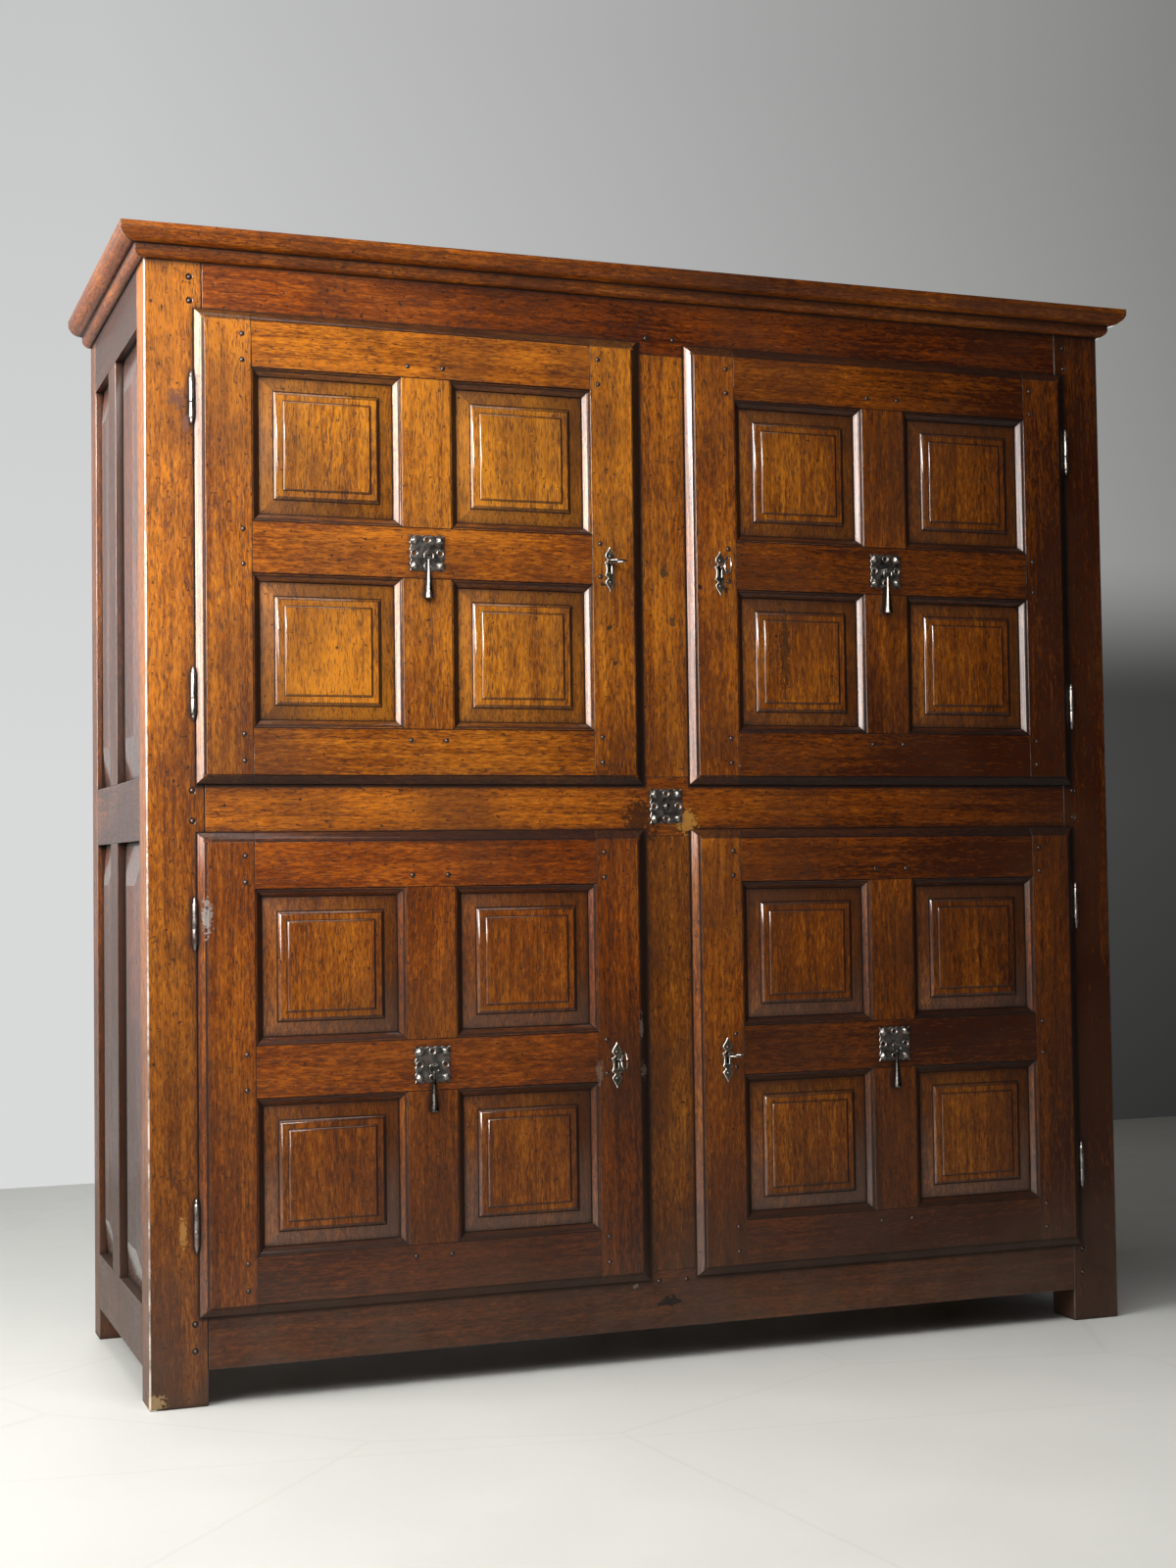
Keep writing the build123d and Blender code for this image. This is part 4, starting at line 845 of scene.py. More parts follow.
# How each material is made: in the iron, the colours of its dark and of its rubbed parts, how metallic
# it is, its least roughness, how much of it rusts, and what differs from other iron.
FINISHES = {
    "Waxed walnut": (waxed_wood, {"spots": DOOR_SPOTS, "on_frame": False}),
    "Waxed walnut frame": (waxed_wood, {"spots": FRAME_SPOTS, "on_frame": True}),
    "Sawn boards": (sawn_wood, {"dark": (0.10, 0.055, 0.030), "light": (0.27, 0.17, 0.10)}),
    "Peg end grain": (peg_wood, {}),
    "Black iron": (forged_iron, {
        "dark": (0.024, 0.022, 0.020), "rubbed": (0.13, 0.12, 0.108),
        "metal": 0.75, "gloss": 0.24, "rust": 0.5}),
    "Worn iron": (forged_iron, {
        "dark": (0.045, 0.041, 0.037), "rubbed": (0.21, 0.19, 0.165),
        "metal": 0.85, "gloss": 0.24, "rust": 0.5}),
    "Handled iron": (forged_iron, {
        "dark": (0.050, 0.047, 0.043), "rubbed": (0.125, 0.117, 0.106),
        "metal": 1.0, "gloss": 0.13, "rust": 0.45, "spread": 0.10, "beaten": 0.18, "coat": 0.15}),
    "Key iron": (forged_iron, {
        "dark": (0.075, 0.070, 0.064), "rubbed": (0.22, 0.205, 0.185),
        "metal": 1.0, "gloss": 0.13, "rust": 0.45, "spread": 0.12, "beaten": 0.25}),
    "Brown iron": (forged_iron, {
        "dark": (0.026, 0.022, 0.013), "rubbed": (0.085, 0.074, 0.045),
        "metal": 0.8, "gloss": 0.34, "rust": 0.4, "edge": (0.80, 0.72, 0.62)}),
}


def finish_of(name):
    """The material of a name, made the first time that it is asked for."""
    make, values = FINISHES[name]
    return bpy.data.materials.get(name) or make(name, **values)


# ---- Geometry Nodes ------------------------------------------------------------------------------
def geometry_tree(name, seed, sizes):
    """A graph in a new geometry tree, the tree's inputs, and its output node."""
    tree = bpy.data.node_groups.new(name, "GeometryNodeTree")
    for way in ("INPUT", "OUTPUT"):
        tree.interface.new_socket("Geometry", in_out=way, socket_type="NodeSocketGeometry")
    for label, default in {**sizes, "Seed": seed}.items():
        kind = "NodeSocketInt" if label == "Seed" else "NodeSocketFloat"
        tree.interface.new_socket(label, in_out="INPUT", socket_type=kind).default_value = default
    tree.interface.new_socket("Material", in_out="INPUT", socket_type="NodeSocketMaterial")
    graph = Graph(tree)
    return graph, graph.add("NodeGroupInput").outputs, graph.add("NodeGroupOutput")


def scatter(graph, inside, outside, shape, tilt, size_spread):
    """Sets a shape on every point, facing the front, each turned and sized a little differently."""
    spin = graph.add("FunctionNodeRandomValue", {
        0: (-tilt, -tilt, -math.pi), 1: (tilt, tilt, math.pi), "Seed": inside["Seed"],
    }, data_type="FLOAT_VECTOR")
    size = graph.add("FunctionNodeRandomValue", {
        2: 1.0 - size_spread, 3: 1.0, "Seed": inside["Seed"],
    }, data_type="FLOAT")
    forward = graph.add("FunctionNodeEulerToRotation", {0: (math.pi / 2, 0.0, 0.0)})
    own = graph.add("FunctionNodeEulerToRotation", {0: spin.outputs[0]})
    turned = graph.add("FunctionNodeRotateRotation", {0: forward.outputs[0], 1: own.outputs[0]},
                       rotation_space="LOCAL")
    placed = graph.add("GeometryNodeInstanceOnPoints", {
        "Points": inside["Geometry"], "Instance": shape, "Rotation": turned.outputs[0],
        "Scale": size.outputs[1],
    })
    real = graph.add("GeometryNodeRealizeInstances", {0: placed.outputs[0]})
    smooth = graph.add("GeometryNodeSetShadeSmooth", {0: real.outputs[0]})
    named = graph.add("GeometryNodeSetMaterial", {
        "Geometry": smooth.outputs[0], "Material": inside["Material"]})
    return give(graph, outside, {"Geometry": named.outputs[0]})


@built_once("Wooden pegs")
def peg_tree(name):
    """Tree: a cleft peg on every point, its end a little proud and unevenly cut."""
    graph, inside, outside = geometry_tree(name, 3, {"Radius": 3.6 * MM, "Length": 27 * MM})
    shaft = graph.add("GeometryNodeMeshCylinder", {
        "Vertices": 9, "Radius": inside["Radius"], "Depth": inside["Length"]})
    drop = graph.add("ShaderNodeCombineXYZ", {"Z": graph.times(inside["Length"], -0.5)})
    moved = graph.add("GeometryNodeTransform", {
        "Geometry": shaft.outputs["Mesh"], "Translation": drop.outputs[0]})
    return scatter(graph, inside, outside, moved.outputs[0], 0.05, 0.07)


@built_once("Domed studs")
def stud_tree(name):
    """Tree: a domed stud on every point, with shallow lobes beaten into its rim."""
    graph, inside, outside = geometry_tree(name, 5, {
        "Radius": 7 * MM, "Height": 5 * MM, "Lobes": 4.0, "Lobe Depth": 0.12})
    ball = graph.add("GeometryNodeMeshUVSphere", {"Segments": 24, "Rings": 12, "Radius": 1.0})
    place = graph.split(graph.add("GeometryNodeInputPosition").outputs[0])
    turn = graph.math("ARCTAN2", place["Y"], place["X"])
    wave = graph.math("COSINE", graph.times(turn, inside["Lobes"]))
    wide = graph.times(graph.plus(graph.times(wave, inside["Lobe Depth"]), 1.0), inside["Radius"])
    shaped = graph.add("ShaderNodeCombineXYZ", {
        "X": graph.times(place["X"], wide), "Y": graph.times(place["Y"], wide),
        "Z": graph.times(graph.largest(place["Z"], -0.25), inside["Height"]),
    })
    formed = graph.add("GeometryNodeSetPosition", {
        "Geometry": ball.outputs["Mesh"], "Position": shaped.outputs[0]})
    return scatter(graph, inside, outside, formed.outputs[0], 0.06, 0.04)


@built_once("Raised rings")
def ring_tree(name):
    """Tree: a small raised ring on every point."""
    graph, inside, outside = geometry_tree(name, 7, {"Radius": 6 * MM, "Wire": 1.2 * MM})
    path, section = (
        graph.add("GeometryNodeCurvePrimitiveCircle", {"Resolution": count, "Radius": radius}, mode="RADIUS")
        for count, radius in ((24, inside["Radius"]), (8, inside["Wire"])))
    ring = graph.add("GeometryNodeCurveToMesh", {
        "Curve": path.outputs[0], "Profile Curve": section.outputs[0]})
    return scatter(graph, inside, outside, ring.outputs[0], 0.04, 0.06)


def grow(name, points, tree, values, cut_edge=0.0):
    """Runs a geometry tree on points and gives back a plain mesh object."""
    data = bpy.data.meshes.new(name + "_points")
    data.from_pydata([tuple(p) for p in points], [], [])
    seed_object = bpy.data.objects.new(name + "_points", data)
    bpy.context.scene.collection.objects.link(seed_object)
    modifier = seed_object.modifiers.new(tree.name, "NODES")
    modifier.node_group = tree
    sockets = {s.name: s.identifier for s in tree.interface.items_tree
               if s.item_type == "SOCKET" and s.in_out == "INPUT"}
    for label, value in values.items():
        modifier[sockets[label]] = value
    if cut_edge:
        rounder = seed_object.modifiers.new("Cut edge", "BEVEL")
        rounder.width = cut_edge
        rounder.segments = 1
        rounder.limit_method = "ANGLE"
        rounder.angle_limit = math.radians(60)
    bpy.context.view_layer.update()
    scene_now = bpy.context.evaluated_depsgraph_get()
    result = bpy.data.meshes.new_from_object(seed_object.evaluated_get(scene_now), depsgraph=scene_now)
    seed_object.modifiers.clear()
    bpy.data.objects.remove(seed_object)
    bpy.data.meshes.remove(data)
    result.name = name
    return bpy.data.objects.new(name, result)


def studs(name, places, radius, height, lobes, lobe_depth, finish):
    """Domed heads on some places."""
    return grow(name, places, stud_tree(), {
        "Radius": radius, "Height": height, "Lobes": lobes, "Lobe Depth": lobe_depth,
        "Material": finish_of(finish)})


# ---- Settings ------------------------------------------------------------------------------------
def tint(name, description, default):
    """A setting for a colour."""
    return FloatVectorProperty(name=name, description=description, subtype="COLOR", default=default,
                               min=0, max=1)


def share(name, description, default, low=0):
    """A setting up to 1."""
    return FloatProperty(name=name, description=description, default=default, min=low, max=1)


def length(name, description, default, low, high):
    """A setting for a length in metres."""
    return FloatProperty(name=name, description=description, subtype="DISTANCE", unit="LENGTH",
                         default=default, min=low, max=high)


def power(name, description, default):
    """A setting for the power of a lamp or the strength of a light."""
    return FloatProperty(name=name, description=description, default=default, min=0)


class WoodSettings(bpy.types.PropertyGroup):
    """Colours and finish of the walnut."""

    dark: tint("Dark streaks", "Colour of the darkest figure", (0.045, 0.0100, 0.0018))
    middle: tint("Body", "Colour of most of the wood", (0.225, 0.063, 0.0045))
    light: tint("Light streaks", "Colour of the lightest figure", (0.57, 0.205, 0.016))
    gloss: share("Roughness", "Mean roughness of the waxed surface", 0.36, 0.05)
    wax: share("Wax", "Weight of the wax coat", 0.9)
    frame_edge: length("Frame edge", "Rounding of the carcass edges", 1.6 * MM, 0.2 * MM, 4 * MM)
    door_edge: length("Door edge", "Rounding of the door edges", 0.8 * MM, 0.2 * MM, 2 * MM)
    # The quirk strips carry painted shade with grimy deposits; the next setting paints shade on mouldings
    # turned from the light.
    quirk: length("Quirk", "Width of the dirt that fills inner corners", 1.5 * MM, 0, 4 * MM)
    lee_shade: share("Lee dirt", "Dirt on mouldings turned right, down or up", 0.90)
    board_spread: share("Board spread", "How much boards differ in tone", 0.16)


class IronSettings(bpy.types.PropertyGroup):
    """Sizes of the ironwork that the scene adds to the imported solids."""

    stud_x: length("Stud offset across", "From the plate's middle to its studs", 22 * MM, 5 * MM, 50 * MM)
    stud_z: length("Stud offset up", "From the plate's middle to its studs", 21 * MM, 5 * MM, 50 * MM)
    stud_radius: length("Stud radius", "Half width of the corner studs", 6.9 * MM, 1 * MM, 20 * MM)
    stud_height: length("Stud height", "Height of the corner studs", 5.7 * MM, 1 * MM, 20 * MM)
    ring_wire: length("Ring wire", "Half thickness of the raised rings", 1.05 * MM, 0.3 * MM, 4 * MM)
    peg_seed: IntProperty(name="Peg seed", description="Seed of the pegs' uneven turns", default=3, min=0)


class StudioSettings(bpy.types.PropertyGroup):
    """Light, backdrop and camera."""

    key: power("Key light", "Power of the soft light on the left", 92.0)
    top: power("Top light", "Power of the broad light overhead", 88.0)
    fill: power("Fill light", "Power of the lamp that lights the right side and the back", 70.0)
    pool: power("Pool light", "Power of the lamp on the upper left", 215.0)
    screen: power("Screens", "Power of the pale screens that the wax mirrors", 190.0)
    sky_front: power("Surround in front", "Strength of the surround in front", 0.03)
    sky_back: power("Surround behind", "Strength of the surround behind", 0.16)
    floor: tint("Floor", "Colour of the floor", (0.79, 0.80, 0.765))
    wall_left: tint("Wall left", "Colour of the wall on the left", (0.69, 0.70, 0.695))
    wall_right: tint("Wall right", "Colour of the wall on the right", (0.27, 0.27, 0.262))
    lens: FloatProperty(name="Lens", description="Focal length", subtype="DISTANCE_CAMERA",
                        default=49.7086, min=10, max=200)


class CupboardSettings(bpy.types.PropertyGroup):
    """All settings of the cupboard."""

    wood: PointerProperty(type=WoodSettings)
    iron: PointerProperty(type=IronSettings)
    studio: PointerProperty(type=StudioSettings)


# ---- Wood ----------------------------------------------------------------------------------------
# The front of a panel from its groove inwards: distance from the sight line and height over its bed,
# in millimetres, and what lies between a line and the one before.
# The marked stretches at the feet of the steps carry painted shade with grimy deposits.
PANEL_PROFILE = (
    (1.4, 0.30, "shade_and_dirt"), (22.5, 4.87, "plain"), (24.0, 5.2, "shade_and_dirt"), (24.5, 6.0, "shade_and_dirt"),
    (28.8, 8.85, "plain"), (29.5, 9.2, "worn"), (38.0, 9.2, "plain"), (39.0, 9.2, "shade_and_dirt"),
    (41.2, 10.75, "plain"), (41.8, 11.0, "worn"),
)
PANEL_LIFT = 0.14  # how much lighter the panels are than the boards round them
LIP_WIDTH = 15 * MM


def worn_slope(run, start, width, step, fall, curve):
    """Depth of a worn moulding at a run in metres. Its own sizes are in millimetres."""
    down = max(0.0, run - start * MM) / (width * MM)
    return step * MM + fall * MM * down ** curve


class DoorFace:
    """The front of a door: where its mouldings and its painted shade lie, and how light its boards are."""

    def __init__(self, name, tone, warmth, right_fall, foot_shade_fall):
        self.name, self.body = name, name + "_door"
        self.tone, self.warmth = tone, warmth
        self.right_fall, self.foot_shade_fall = right_fall, foot_shade_fall
        lo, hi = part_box(self.body + "_uprights")
        self.front, self.middle, self.half = lo.y, (lo + hi) / 2, (hi - lo) / 2

    def away(self, place):
        """How far a place lies to the right of the door's middle, and above it."""
        return place.x - self.middle.x, place.z - self.middle.z

    def mouldings(self, place):
        """How far a place lies out in the lip of the door, and in the moulding round an opening."""
        across, up = (abs(distance) for distance in self.away(place))
        lip = LIP_WIDTH - min(self.half.x - across, self.half.z - up)
        run = min(HALF_OPENING - abs(across - OPENING_MIDDLE), HALF_OPENING - abs(up - OPENING_MIDDLE))
        return lip, run

    def plane(self, mesh):
        """Planes the ovolos of the lip and round each opening down to nearly flat slopes."""
        for vert in mesh.verts:
            depth = vert.co.y - self.front
            lip, run = self.mouldings(vert.co)
            if 1.6 * MM < lip < 15.1 * MM and depth < 9.2 * MM:
                vert.co.y = self.front + worn_slope(lip, 3.6, 11.4, 1.8, 7.2, 1.15)
            if 2.1 * MM < run < 12.6 * MM and depth < 10.2 * MM:
                vert.co.y = self.front + worn_slope(run, 4.2, 8.3, 2.0, 8.0, 1.1)

    def dirt(self, place):
        """Painted shade on the lip at the right, below and above, and painted shade with grimy deposits in
        the quirks of the mouldings.
        """
        across, up = self.away(place)
        rim = 14.6 * MM
        if self.half.x - across < rim:
            return 0.96
        if self.half.z + up < rim:
            return 0.85
        if self.half.z - up < rim:
            return 0.80
        if place.y < self.front + 1.2 * MM:
            return 0.0
        lip, run = self.mouldings(place)
        return 0.92 if 2.0 * MM < lip < 4.9 * MM or 2.4 * MM < run < 5.6 * MM else 0.0

    def panel_tone(self, place):
        """How light a panel is at a place."""
        across, up = self.away(place)
        # The falls paint shade to the right and towards the foot.
        falls = self.foot_shade_fall * (up / self.half.z) - self.right_fall * (across / self.half.x)
        return self.tone + PANEL_LIFT + falls

    def board_tone(self, place):
        """How light a stile or a muntin is at a place: darker at the foot of the door."""
        low = 0.22 if place.z < self.middle.z - self.half.z * 0.74 else 0.0
        return self.panel_tone(place) - PANEL_LIFT - low

    def rail_tone(self, place):
        """How light a rail of the door is at a place."""
        # More painted shade towards the foot.
        return self.board_tone(place) - 0.26 - 0.5 * self.foot_shade_fall * self.away(place)[1] / self.half.z


def raised_panel(mesh, lo, hi):
    """Adds a raised and fielded panel between two corners, with a reach hidden in the groove."""
    shade_and_dirt, worn = face_mark(mesh, "shade_and_dirt"), face_mark(mesh, "worn")
    bed = hi.y - PANEL_TONGUE
    centre, half = (lo + hi) / 2, (hi - lo) / 2

    def ring(inset, y):
        return [mesh.verts.new((centre.x + sx * (half.x - inset), y, centre.z + sz * (half.z - inset)))
                for sx, sz in ((-1, -1), (1, -1), (1, 1), (-1, 1))]

    hidden = half.x - PANEL_SIGHT
    rings = [(ring(0, hi.y), "plain"), (ring(0, bed), "plain"), (ring(hidden, bed), "plain")]
    rings += [(ring(hidden + inset * MM, bed - rise * MM), kind) for inset, rise, kind in PANEL_PROFILE]
    for (low, _), (high, kind) in zip(rings, rings[1:]):
        for index in range(4):
            nxt = (index + 1) % 4
            face = mesh.faces.new((low[index], low[nxt], high[nxt], high[index]))
            face[shade_and_dirt] = 0.95 if kind == "shade_and_dirt" else 0.0
            face[worn] = 1.0 if kind == "worn" else 0.0
    mesh.faces.new(rings[-1][0])
    mesh.faces.new(list(reversed(rings[0][0])))


def door_panels(door, lee_shade):
    """The four raised panels of a door."""
    node = door.body + "_panels"
    mesh = bmesh.new()
    for lo, hi in solid_spans(node):
        raised_panel(mesh, lo, hi)
    mark_faces(mesh, lee_shade)
    write_grain(mesh, door.panel_tone, door.warmth + 0.1, 0.09, 2)
    even_shading(new_piece(door.name + "_panels", mesh, "Waxed walnut", door.body, (node,)))


def dress(node, name, body, finish, width, tone=0.0, warmth=0.0, spread=None, axis=None, shape=None,
          lee_shade=0.0, lip=None):
    """Replaces a wooden node with a copy that has rounded edges and a grain of its own."""
    settings = bpy.context.scene.cupboard.wood
    sawn = finish == "Sawn boards"
    mesh = merged_copy(node)
    if shape is not None:
        shape(mesh)
    round_edges(mesh, width, quirk=0.0 if sawn else settings.quirk)
    mark_faces(mesh, lee_shade, lip)
    write_grain(mesh, tone, warmth, settings.board_spread if spread is None else spread, axis)
    even_shading(new_piece(name, mesh, finish, body, (node,)))


class CUPBOARD_OT_carcass(bpy.types.Operator):
    """Posts, rails, muntins and panels of the carcass"""

    bl_idname = "cupboard.carcass"
    bl_label = "Carcass"

    def execute(self, context):
        edge = context.scene.cupboard.wood.frame_edge
        thin = edge * 0.6
        side, front = ("carcass", "Waxed walnut"), ("carcass", "Waxed walnut frame")
        dress("front_posts", "post_pair_front", *front, edge * 1.6, self.post_tone, -0.1, spread=0.04)
        dress("back_posts", "post_pair_back", *side, edge, -0.1, -0.1)
        dress("front_rails", "rails_front", *front, thin, self.rail_tone, self.rail_warmth, spread=0.04)
        dress("front_muntins", "muntins_front", *front, thin, self.muntin_tone, 0.15)
        dress("side_rails", "rails_side", *side, thin, -0.8, -0.2)
        dress("side_muntins", "muntins_side", *side, thin, -0.8, -0.2)
        dress("side_panels", "panels_side", *side, thin, -0.7, -0.7, axis=2)
        dress("back_rails", "rails_back", "carcass", "Sawn boards", thin)
        for node, name in (("back_boards", "boards_back"), ("top_boards", "boards_top"),
                           ("deck_and_shelf_boards", "boards_inside"), ("shelf_bearers", "bearers_inside")):
            dress(node, name, "carcass", "Sawn boards", edge * 0.5)
        return {"FINISHED"}

    @staticmethod
    def level(place):
        """Which front rail a place is on: 0 the bottom one, 1 the middle one, 2 the top one."""
        return sum(place.z > height for height in (0.5, 1.4))

    @staticmethod
    def post_tone(place):
        """Painted light makes the left post lighter towards its top, and painted shade makes the right one
        dark.
        """
        return -0.10 + 0.26 * place.z if place.x < 0 else -0.80

    @staticmethod
    def muntin_tone(place):
        """The lower muntin is a little darker than the upper one."""
        return 0.0 if place.z > 1.0 else -0.10

    def rail_tone(self, place):
        """Each front rail has a tone of its own, and painted shade makes it darker to the right."""
        level = self.level(place)
        return (-0.36, 0.05, -0.18)[level] - (0.05, 0.62, 0.34)[level] * place.x

    def rail_warmth(self, place):
        """The higher a front rail, the redder it is."""
        return (-0.2, -0.40, -0.95)[self.level(place)]


class CUPBOARD_OT_cornice(bpy.types.Operator):
    """Moulded cornice"""

    bl_idname = "cupboard.cornice"
    bl_label = "Cornice"

    def execute(self, context):
        dress("cornice", "cornice_moulding", "carcass", "Waxed walnut", 1.2 * MM, -0.02, -0.45, spread=0.05)
        return {"FINISHED"}


class CUPBOARD_OT_doors(bpy.types.Operator):
    """Frames and raised panels of the four doors"""

    bl_idname = "cupboard.doors"
    bl_label = "Doors"

    # Tone, warmth, and how much painted shade lowers the tone from the middle to the right edge and to the
    # foot.
    tones = {"upper_left": (0.41, 0.24, 0.06, 0.22), "upper_right": (-0.19, 0.06, 0.34, 0.0),
             "lower_left": (-0.03, -0.35, 0.16, 0.0), "lower_right": (-0.20, -0.10, 0.34, 0.0)}

    def execute(self, context):
        wood = context.scene.cupboard.wood
        for name in DOORS:
            door = DoorFace(name, *self.tones[name])
            frame_looks = {"shape": door.plane, "lee_shade": wood.lee_shade, "lip": door.dirt}
            dress(door.body + "_uprights", name + "_stiles_and_muntins", door.body, "Waxed walnut",
                  wood.door_edge, door.board_tone, door.warmth - 0.1, **frame_looks)
            dress(door.body + "_rails", name + "_rails", door.body, "Waxed walnut",
                  wood.door_edge, door.rail_tone, door.warmth - 0.4, **frame_looks)
            door_panels(door, wood.lee_shade)
        return {"FINISHED"}


class CUPBOARD_OT_pegs(bpy.types.Operator):
    """Pegs in the joints"""

    bl_idname = "cupboard.pegs"
    bl_label = "Pegs"

    def execute(self, context):
        seed = context.scene.cupboard.iron.peg_seed
        sets = [("frame_pegs", "carcass_pegs", "carcass")]
        sets += [(door + "_door_pegs", door + "_pegs", door + "_door") for door in DOORS]
        for node, name, body in sets:
            spans = solid_spans(node)
            heads = [((lo.x + hi.x) / 2, lo.y, (lo.z + hi.z) / 2) for lo, hi in spans]
            lo, hi = spans[0]
            pegs = grow(name, heads, peg_tree(), {
                "Radius": (hi.x - lo.x) / 2, "Length": hi.y - lo.y, "Seed": seed,
                "Material": finish_of("Peg end grain")}, cut_edge=0.7 * MM)
            finish_piece(pegs, body, (node,))
        return {"FINISHED"}


# ---- Ironwork ------------------------------------------------------------------------------------
def scalloped_square(x, z, half_x, half_z, bite):
    """(x, z) outline of a square plate with five bites in each edge."""
    points = []
    steps = 22
    corners = [(-1, -1), (1, -1), (1, 1), (-1, 1)]
    for (sx, sz), (ex, ez) in zip(corners, corners[1:] + corners[:1]):
        for step in range(steps):
            t = step / steps
            px, pz = sx + (ex - sx) * t, sz + (ez - sz) * t
            inward = 1 - bite * (0.5 - 0.5 * math.cos(2 * math.pi * 5 * t)) / half_x
            if sx == ex:
                points.append((x + px * half_x * inward, z + pz * half_z))
            else:
                points.append((x + px * half_x, z + pz * half_z * inward))
    return points


def cut_plate(outline, holes, back, rounding):
    """A bmesh of a plate of sheet iron."""
    mesh = bmesh.new()
    cut_sheet(mesh, outline, holes, back, SHEET_IRON)
    round_edges(mesh, rounding, segments=1, angle=50)
    mark_faces(mesh)
    return mesh


def flat_faces(mesh):
    """Takes the smooth shading off."""
    for face in mesh.faces:
        face.smooth = False


# Radius and distance behind the plate, in millimetres
NAIL_SHANK = [(0, 0), (1.3, 0), (1.0, 10), (0, 12)]


def add_lug(mesh, axis, back):
    """The lug that holds the pin of a pull, with a round front."""
    half_width, half_height, radius = 3.4 * MM, 3.0 * MM, 3.5 * MM
    box(mesh, (axis.x - half_width, axis.y, axis.z - half_height),
        (axis.x + half_width, back, axis.z + half_height))
    lathe(mesh, [(0, -half_width), (radius, -half_width), (radius, half_width), (0, half_width)],
          axis, (1, 0, 0), 16)


def square_plate(node, member, name, body, pull_axis=None):
    """Plate, studs, rings and the lug of a pull, or a nail in the middle, as one piece."""
    iron = bpy.context.scene.cupboard.iron
    lo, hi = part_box(node)
    x, z = (lo.x + hi.x) / 2, (lo.z + hi.z) / 2
    half_x, half_z = (hi.x - lo.x) / 2, (hi.z - lo.z) / 2
    back = member_face(member)
    face_y = back - SHEET_IRON
    ring_inset = 8.1 * MM
    hole_radius = 3.6 * MM
    bite = 2.2 * MM
    reach_x, reach_z = half_x - ring_inset, half_z - ring_inset
    corners = [Vector((x + sx * iron.stud_x, face_y, z + sz * iron.stud_z))
               for sx in (-1, 1) for sz in (-1, 1)]
    ringed = [Vector((x + dx, face_y, z + dz))
              for dx, dz in ((-reach_x, 0), (reach_x, 0), (0, -reach_z), (0, reach_z))]
    middle = [] if pull_axis else [Vector((x, face_y, z))]
    holes = [circle_points(spot.x, spot.z, hole_radius, 14) for spot in ringed]
    mesh = cut_plate(scalloped_square(x, z, half_x, half_z, bite), holes, back, 0.45 * MM)
    for spot in corners + middle:
        lathe(mesh, in_mm(NAIL_SHANK), spot, (0, 1, 0), 8)
    if pull_axis:
        add_lug(mesh, pull_axis, back)
    flat_faces(mesh)
    parts = [
        studs(name + "_studs", corners, iron.stud_radius, iron.stud_height, 4.0, 0.10, "Worn iron"),
        grow(name + "_rings", ringed, ring_tree(), {
            "Radius": 5.8 * MM, "Wire": iron.ring_wire, "Material": finish_of("Worn iron")}),
    ]
    if middle:
        parts.append(studs(name + "_nail", middle, 6.3 * MM, 5.6 * MM, 2.0, 0.01, "Handled iron"))
    plate = loose_object(name, mesh, finish_of("Black iron"))
    finish_piece(join_meshes(plate, parts), body, (node,))


class CUPBOARD_OT_plates(bpy.types.Operator):
    """Pull plates and the rosette on the middle rail"""

    bl_idname = "cupboard.plates"
    bl_label = "Plates"

    def execute(self, context):
        square_plate("centre_rosette", "front_rails", "rosette", "carcass")
        for door in DOORS:
            square_plate(door + "_pull_plate", door + "_door_rails", door + "_plate", door + "_door",
                         joint_place(door + "_pull_swing"))
        return {"FINISHED"}


class CUPBOARD_OT_pulls(bpy.types.Operator):
    """Drops that hang from the pull plates"""

    bl_idname = "cupboard.pulls"
    bl_label = "Drop pulls"

    # Radius of the drop and distance under its pin, in millimetres, down to its heavy end.
    stem = [(0, 10.0), (1.9, 10.2), (2.6, 11.4), (2.2, 13.2), (2.3, 16), (3.1, 30), (4.4, 46), (6.1, 62)]

    def execute(self, context):
        for door in DOORS:
            axis = joint_place(door + "_pull_swing")
            lo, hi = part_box(door + "_pull_drop")
            end, thick = axis.z - lo.z, (hi.y - lo.y) / 2
            mesh = bmesh.new()
            stirrup = [axis + step for step in self.stirrup((hi.x - lo.x) / 2 - 1.5 * MM)]
            wire(mesh, stirrup, [1.5 * MM] * len(stirrup))
            wire(mesh, [axis + Vector((x, 0, 0)) for x in (-4.4 * MM, 4.4 * MM)], [1.45 * MM] * 2)
            heel = [(thick * 0.985, end - 3.2 * MM), (thick, end - 1.8 * MM), (thick * 0.93, end - 0.4 * MM),
                    (thick * 0.5, end), (0, end)]
            lathe(mesh, in_mm(self.stem) + heel, axis, (0, 0, -1), 28)
            outward(mesh)
            new_piece(door + "_drop", mesh, "Handled iron", door + "_pull", (door + "_pull_drop",))
        return {"FINISHED"}

    @staticmethod
    def stirrup(half):
        """The bent wire from one end of the pin round to the other."""
        bar, bend = -11.0 * MM, 2.2 * MM
        left = [(-3.9 * MM, 0), (bend - half, 0), (0.6 * MM - half, -0.6 * MM), (-half, -bend),
                (-half, bar + bend), (0.7 * MM - half, bar + 0.7 * MM), (bend - half, bar)]
        right = [(-x, z) for x, z in reversed(left)]
        return [Vector((x, 0, z)) for x, z in left + right]


